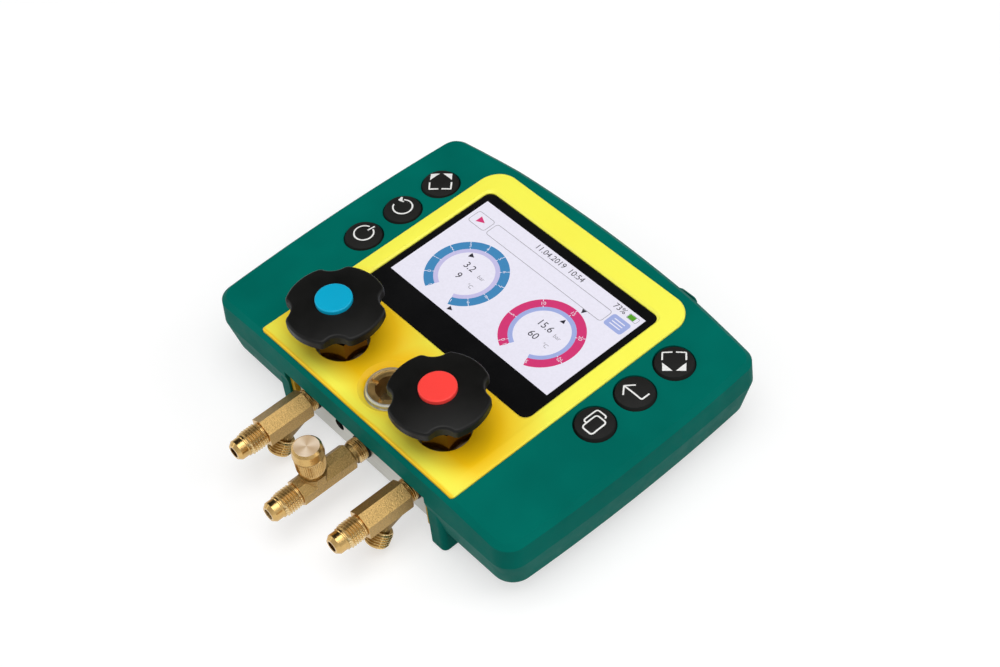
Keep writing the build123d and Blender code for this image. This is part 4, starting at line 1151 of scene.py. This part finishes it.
def legend_power(centre):
    ring = arc_points(centre, 4.4 * MM, 105, 435, 40)
    bar = [(centre[0] + 0.1 * MM, centre[1] + 2.2 * MM), (centre[0] + 0.3 * MM, centre[1] + 6.0 * MM)]
    return [ring, bar], []


def legend_refresh(centre):
    ring = arc_points(centre, 4.4 * MM, -158, 132, 40)
    x, y = centre[0] - 4.6 * MM, centre[1] + 1.4 * MM
    spots = lambda *places: [(x + across * MM, y + up * MM) for across, up in places]
    head = spots((0.5, 0.0), (1.9, 0.7), (-0.2, 2.7), (-0.4, 0.2))
    tip = spots((-0.5, 2.4), (0.2, 0.2), (2.6, 0.9))
    return [ring, tip], [head]


def chevron(centre, angle, filled):
    """One corner of a zoom mark, pointing out at an angle"""
    tip, wing, base = 6.9 * MM, 3.0 * MM, 4.0 * MM
    turn = Matrix.Rotation(math.radians(angle), 2)
    spot = lambda x, y: tuple(Vector(centre) + turn @ Vector((x, y)))
    if filled:
        return [], [[spot(tip, 0), spot(base, wing), spot(base, -wing)]]
    return [[spot(base, wing), spot(tip, 0), spot(base, -wing)]], []


def legend_zoom(centre, filled):
    paths, plates = [], []
    for angle in (0, 90, 180, 270):
        more_paths, more_plates = chevron(centre, angle, angle in filled)
        paths += more_paths
        plates += more_plates
    return paths, plates


def legend_back(centre):
    x, y = centre
    hook = [(x + 4.9 * MM, y + 3.4 * MM), (x + 4.9 * MM, y - 0.2 * MM)]
    hook += arc_points((x + 4.1 * MM, y - 0.2 * MM), 0.8 * MM, 0, -90, 5)
    hook += [(x - 5.2 * MM, y - 1.0 * MM)]
    head = [(x - 2.1 * MM, y + 2.6 * MM), (x - 5.3 * MM, y - 1.0 * MM), (x - 2.1 * MM, y - 4.6 * MM)]
    return [hook, head], []


def legend_copy(centre):
    x, y = centre
    front = box_frame(x - 2.1 * MM, x + 3.6 * MM, y - 5.2 * MM, y + 3.2 * MM, 1.3 * MM)
    back = [(x - 2.4 * MM, y - 2.4 * MM)]
    back += arc_points((x - 2.9 * MM, y - 1.4 * MM), 1.1 * MM, -90, -180, 5)
    back += arc_points((x - 2.9 * MM, y + 4.3 * MM), 1.1 * MM, 180, 90, 5)
    back += arc_points((x + 0.4 * MM, y + 4.3 * MM), 1.1 * MM, 90, 0, 5)
    return [front, back], []


def button_top(x, y, centre):
    """Height of a key's dome over a point"""
    sphere = (KEY_R ** 2 + KEY_DOME ** 2) / (2 * KEY_DOME)
    gap = (x - centre.x) ** 2 + (y - centre.y) ** 2
    return centre.z + math.sqrt(max(sphere ** 2 - gap, 0.0)) - sphere


class GAUGE_OT_legends(bpy.types.Operator):
    """White legends on the six keys, laid on their domes"""

    bl_idname = "gauge.legends"
    bl_label = "Key legends"

    def execute(self, context):
        marks = {"power": legend_power, "refresh": legend_refresh, "copy": legend_copy,
                 "back": legend_back, "zoom_out": lambda centre: legend_zoom(centre, (90, 180)),
                 "zoom_in": lambda centre: legend_zoom(centre, (0, 270))}
        film = sizes().film
        for key in KEYS:
            node = "button_" + key
            crown = middle(node)
            crown.z = high(node).z
            shift = LEGEND_SHIFT if crown.x < 0 else 0.0
            paths, plates = marks[key]((crown.x - shift, crown.y + shift))
            parts = [band_plate(even(path), sizes().legend_line, 0, film) for path in paths]
            parts += [fine_plate(leftward(plate), 0, film) for plate in plates]
            verts, faces = joined_faces(parts)
            verts = [(x, y, button_top(x, y, crown) + z - film * LEGEND_SINK) for x, y, z in verts]
            new_piece("legend_" + key, verts, faces, node + "_key", "legend")
        return {"FINISHED"}


# ------------------------------------------------------------------ screen
SCREEN = (-50.1 * MM, 49.9 * MM, -8.6 * MM, 47.5 * MM)      # low and high x, then y, of the lit field
SCREEN_LIFT = 0.01 * MM                         # of the lit field above the glass
FIGURE_LIFT = 0.02 * MM                         # of the readings above the rings
RING_HALF_GAP = 22.5                            # degrees, of the opening at the bottom
RING_R = 18.7 * MM
RING_WIDTH = 4.2 * MM
INNER_WIDTH = 2.1 * MM
TICK_ENDS = ((1.0, 0.72), (0.14, -0.08))        # shares of the ring's width, from its inner edge
TICK_LINE = 0.28 * MM
FIGURE_INSET = 0.56                             # share of the ring's width, from its outer edge
FIGURE_HEIGHT = 1.75 * MM
# each dial's side, middle, figures and the finishes of its two rings
DIALS = (("low", (-23.9 * MM, 12.3 * MM), list(range(-1, 11)), "ring_low", "lilac"),
         ("high", (24.0 * MM, 12.5 * MM), [-1, *range(0, 31, 5)], "ring_high", "sky"))


def ring_plate(centre, inner, outer, z, film, steps=90):
    """A ring open at the bottom"""
    start, end = RING_HALF_GAP - 90, 270 - RING_HALF_GAP
    return band_plate(arc_points(centre, (inner + outer) / 2, start, end, steps), outer - inner, z, film)


def dial_angle(share):
    """Degrees of a place on a dial, from its low end to its high end"""
    return 270 - RING_HALF_GAP - share * (360 - 2 * RING_HALF_GAP)


def dial(centre, outer, width, figures, z, film):
    """Ticks and figures of a dial, each at the place of its value"""
    ticks, words = [], []
    for value in figures:
        share = (value - figures[0]) / (figures[-1] - figures[0])
        angle = math.radians(dial_angle(share))
        out = Vector((math.cos(angle), math.sin(angle)))
        for shares in TICK_ENDS:
            run = [Vector(centre) + out * (outer - width * (1 - share)) for share in shares]
            ticks.append(band_plate(run, TICK_LINE, z, film))
        spot = Vector(centre) + out * (outer - width * FIGURE_INSET)
        place = at(spot.x, spot.y, z + film, angle - math.pi / 2)
        words.append(text_mesh(str(value), FIGURE_HEIGHT, place))
    return joined_faces(ticks + words)


class GAUGE_OT_screen(bpy.types.Operator):
    """Lit screen with two pressure dials, readings and marks"""

    bl_idname = "gauge.screen"
    bl_label = "Screen"

    def execute(self, context):
        film = sizes().film
        z = GLASS_TOP + SCREEN_LIFT
        layer = [z + film * i for i in range(3)]
        x0, x1, y0, y1 = SCREEN
        self.put("screen_field", [thick_plate([(x0, y0), (x1, y0), (x1, y1), (x0, y1)], z, film)], "screen")
        inside = RING_R - RING_WIDTH
        for side, centre, figures, ring, inner in DIALS:
            self.put("screen_ring_" + side, [ring_plate(centre, inside, RING_R, layer[1], film)], ring)
            self.put("screen_inner_" + side,
                     [ring_plate(centre, inside - INNER_WIDTH, inside, layer[1], film)], inner)
            self.put("screen_scale_" + side, [dial(centre, RING_R, RING_WIDTH, figures, layer[2], film)],
                     "screen")
        self.readings(layer)
        self.marks(layer, film)
        return {"FINISHED"}

    def put(self, name, parts, finish_name):
        verts, faces = joined_faces(parts)
        return new_piece(name, verts, faces, "housing", finish_name)

    def readings(self, layer):
        z = layer[1] + FIGURE_LIFT
        dark = [("3.2", -25.8, 15.7, 3.5), ("9", -25.6, 9.1, 3.5), ("15.6", 22.2, 16.0, 3.5),
                ("60", 22.1, 9.2, 3.5)]
        light = [("bar", -17.3, 14.7, 2.0), ("°C", -17.5, 8.3, 2.0), ("bar", 30.3, 15.1, 2.0),
                 ("°C", 29.8, 8.6, 2.0)]
        plain = [("11.04.2019  10:54", 0.3, 44.5, 2.9), ("73%", 37.4, 44.7, 2.9)]
        for name, rows, finish_name in (("dark", dark, "ink"), ("light", light, "grey"),
                                        ("head", plain, "ink")):
            parts = [text_mesh(words, h * MM, at(x * MM, y * MM, z)) for words, x, y, h in rows]
            self.put("screen_figures_" + name, parts, finish_name)

    def marks(self, layer, film):
        z = layer[1]
        box = lambda *measures: box_frame(*(m * MM for m in measures))
        spots = lambda *points: [(x * MM, y * MM) for x, y in points]
        frames = ((0.25, box(-48.1, -37.7, 33.9, 41.2, 1.4)), (0.25, box(-36.2, 36.5, 33.9, 41.2, 1.4)),
                  (0.20, box(42.6, 48.0, 43.2, 46.0, 0.4)))
        self.put("screen_frames", [band_plate(path, line * MM, z, film) for line, path in frames], "grey")
        menu = round_box(37.6 * MM, 47.9 * MM, 34.2 * MM, 41.4 * MM, 1.4 * MM)
        self.put("screen_menu", [thick_plate(menu, z, film)], "sky")
        lines = [band_plate(spots((39.7, y), (45.8, y)), 0.5 * MM, layer[2], film)
                 for y in (39.4, 37.8, 36.3)]
        self.put("screen_menu_lines", lines, "screen")
        play = spots((-44.8, 35.7), (-40.8, 37.6), (-44.8, 39.5))
        self.put("screen_play", [thick_plate(play, z, film)], "ring_high")
        charge = spots((42.8, 43.4), (46.4, 43.4), (46.4, 45.8), (42.8, 45.8))
        self.put("screen_charge", [thick_plate(charge, z, film)], "charge")
        pointers = (spots((-31.2, 19.3), (-28.6, 20.7), (-31.2, 22.0)),
                    spots((-14.8, -7.1), (-12.4, -5.9), (-14.8, -4.6)),
                    spots((24.4, 22.0), (26.9, 22.2), (25.8, 24.4)),
                    spots((27.6, 31.4), (28.8, 33.7), (26.3, 33.7)))
        self.put("screen_pointers", [thick_plate(leftward(p), z, film) for p in pointers], "ink")


# ------------------------------------------------------------------ stage
FLOOR_HALF = 6.0            # metres
FLOOR_Z = -0.2 * MM


class GAUGE_OT_stage(bpy.types.Operator):
    """Pale floor, soft lamps and the camera"""

    bl_idname = "gauge.stage"
    bl_label = "Stage"

    def execute(self, context):
        self.floor()
        self.lamps()
        self.camera(context)
        context.scene.view_settings.view_transform = "Standard"
        return {"FINISHED"}

    def floor(self):
        mesh = bpy.data.meshes.new("floor")
        corners = ((-1, -1), (1, -1), (1, 1), (-1, 1))
        mesh.from_pydata([(x * FLOOR_HALF, y * FLOOR_HALF, FLOOR_Z) for x, y in corners], [],
                         [(0, 1, 2, 3)])
        floor = bpy.data.objects.new("floor", mesh)
        bpy.context.scene.collection.objects.link(floor)
        tree = Tree("floor")
        path = lambda output: tree.node("ShaderNodeLightPath", output=output)
        seen = path("Is Camera Ray") + path("Is Glossy Ray") + path("Is Transmission Ray")
        lift = tree.blend((seen > 0.5), (0.0, 0.0, 0.0), (0.55, 0.55, 0.55))
        tree.finish(Base_Color=(0.50, 0.50, 0.50), Roughness=0.9, Specular_IOR_Level=0.0,
                    Emission_Color=lift, Emission_Strength=1.0)
        mesh.materials.append(tree.material)
        floor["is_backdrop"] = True

    def lamps(self):
        world = bpy.data.worlds.new("studio")
        bpy.context.scene.world = world
        world.use_nodes = True
        nodes, links = world.node_tree.nodes, world.node_tree.links
        direction = nodes.new("ShaderNodeTexCoord").outputs["Generated"]
        split = nodes.new("ShaderNodeSeparateXYZ")
        ramp = nodes.new("ShaderNodeValToRGB")
        stops = ramp.color_ramp.elements
        stops.new(0.3)
        stops.new(0.6)
        for stop, place, grey in zip(stops, (0.0, 0.22, 0.55, 1.0), (0.85, 0.75, 0.60, 0.55)):
            stop.position = place
            stop.color = (grey, grey, grey, 1.0)
        links.new(direction, split.inputs[0])
        links.new(split.outputs["Z"], ramp.inputs["Fac"])
        # a dark flag high behind the low side keeps the flat faces free of glare
        towards = nodes.new("ShaderNodeVectorMath")
        towards.operation = "DOT_PRODUCT"
        towards.inputs[1].default_value = (-0.52, 0.38, 0.76)
        links.new(direction, towards.inputs[0])
        flag = nodes.new("ShaderNodeMapRange")
        for key, value in (("From Min", 0.50), ("From Max", 0.86), ("To Min", 1.0), ("To Max", 0.04)):
            flag.inputs[key].default_value = value
        links.new(towards.outputs["Value"], flag.inputs["Value"])
        links.new(ramp.outputs["Color"], nodes["Background"].inputs["Color"])
        links.new(flag.outputs["Result"], nodes["Background"].inputs["Strength"])
        for name, place, size, power in (("overhead", (0.2, -0.1, 1.5), 1.2, 13.5),
                                         ("left", (-1.2, -0.8, 0.9), 0.7, 3.0),
                                         ("right", (0.9, 0.7, 1.0), 0.7, 3.0)):
            lamp = bpy.data.lights.new(name, "AREA")
            lamp.energy = power
            lamp.size = size
            thing = bpy.data.objects.new(name, lamp)
            thing.location = place
            aim = (Vector((0, 0, 0.03)) - Vector(place)).to_track_quat("-Z", "Y")
            thing.rotation_euler = aim.to_euler()
            bpy.context.scene.collection.objects.link(thing)

    def camera(self, context):
        view = context.scene.gauge_camera
        data = bpy.data.cameras.new("camera")
        data.lens = view.lens
        data.sensor_width = 36.0
        data.shift_x, data.shift_y = view.shift_x, view.shift_y
        data.clip_start, data.clip_end = 0.01, 50.0
        azimuth, elevation = math.radians(view.azimuth), math.radians(view.elevation)
        away = Vector((math.sin(azimuth) * math.cos(elevation),
                       -math.cos(azimuth) * math.cos(elevation), math.sin(elevation)))
        camera = bpy.data.objects.new("camera", data)
        turn = away.to_track_quat("Z", "Y").to_matrix().to_4x4()
        roll = Matrix.Rotation(math.radians(view.roll), 4, "Z")
        camera.matrix_world = Matrix.Translation(Vector(view.aim) + away * view.distance) @ turn @ roll
        bpy.context.scene.collection.objects.link(camera)
        context.scene.camera = camera


class GAUGE_PT_panel(bpy.types.Panel):
    """Lists the steps that dress the gauge"""

    bl_label = "Manifold gauge"
    bl_idname = "GAUGE_PT_panel"
    bl_space_type = "VIEW_3D"
    bl_region_type = "UI"
    bl_category = "Gauge"

    def draw(self, context):
        for step in STEPS:
            self.layout.operator(step.bl_idname)


STEPS = (GAUGE_OT_finishes, GAUGE_OT_panel, GAUGE_OT_cradle, GAUGE_OT_frame, GAUGE_OT_block,
         GAUGE_OT_fittings, GAUGE_OT_cap, GAUGE_OT_legends, GAUGE_OT_screen, GAUGE_OT_stage)
GROUPS = (GaugeColours, GaugeSizes, GaugeCamera)


def register():
    for item in (*GROUPS, *STEPS, GAUGE_PT_panel):
        bpy.utils.register_class(item)
    scene = bpy.types.Scene
    scene.gauge_colours = PointerProperty(type=GaugeColours)
    scene.gauge_sizes = PointerProperty(type=GaugeSizes)
    scene.gauge_camera = PointerProperty(type=GaugeCamera)


def unregister():
    for name in ("gauge_colours", "gauge_sizes", "gauge_camera"):
        delattr(bpy.types.Scene, name)
    for item in (GAUGE_PT_panel, *STEPS[::-1], *GROUPS[::-1]):
        bpy.utils.unregister_class(item)


def main():
    register()
    bpy.ops.gauge.finishes()
    bpy.ops.gauge.panel()
    bpy.ops.gauge.cradle()
    bpy.ops.gauge.frame()
    bpy.ops.gauge.block()
    bpy.ops.gauge.fittings()
    bpy.ops.gauge.cap()
    bpy.ops.gauge.legends()
    bpy.ops.gauge.screen()
    bpy.ops.gauge.stage()
    plain = lambda box: [[round(float(v), 6) for v in corner] for corner in box]
    {"cad": plain(CAD_BOX), "visual": plain(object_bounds())}


if __name__ == "__main__":
    main()
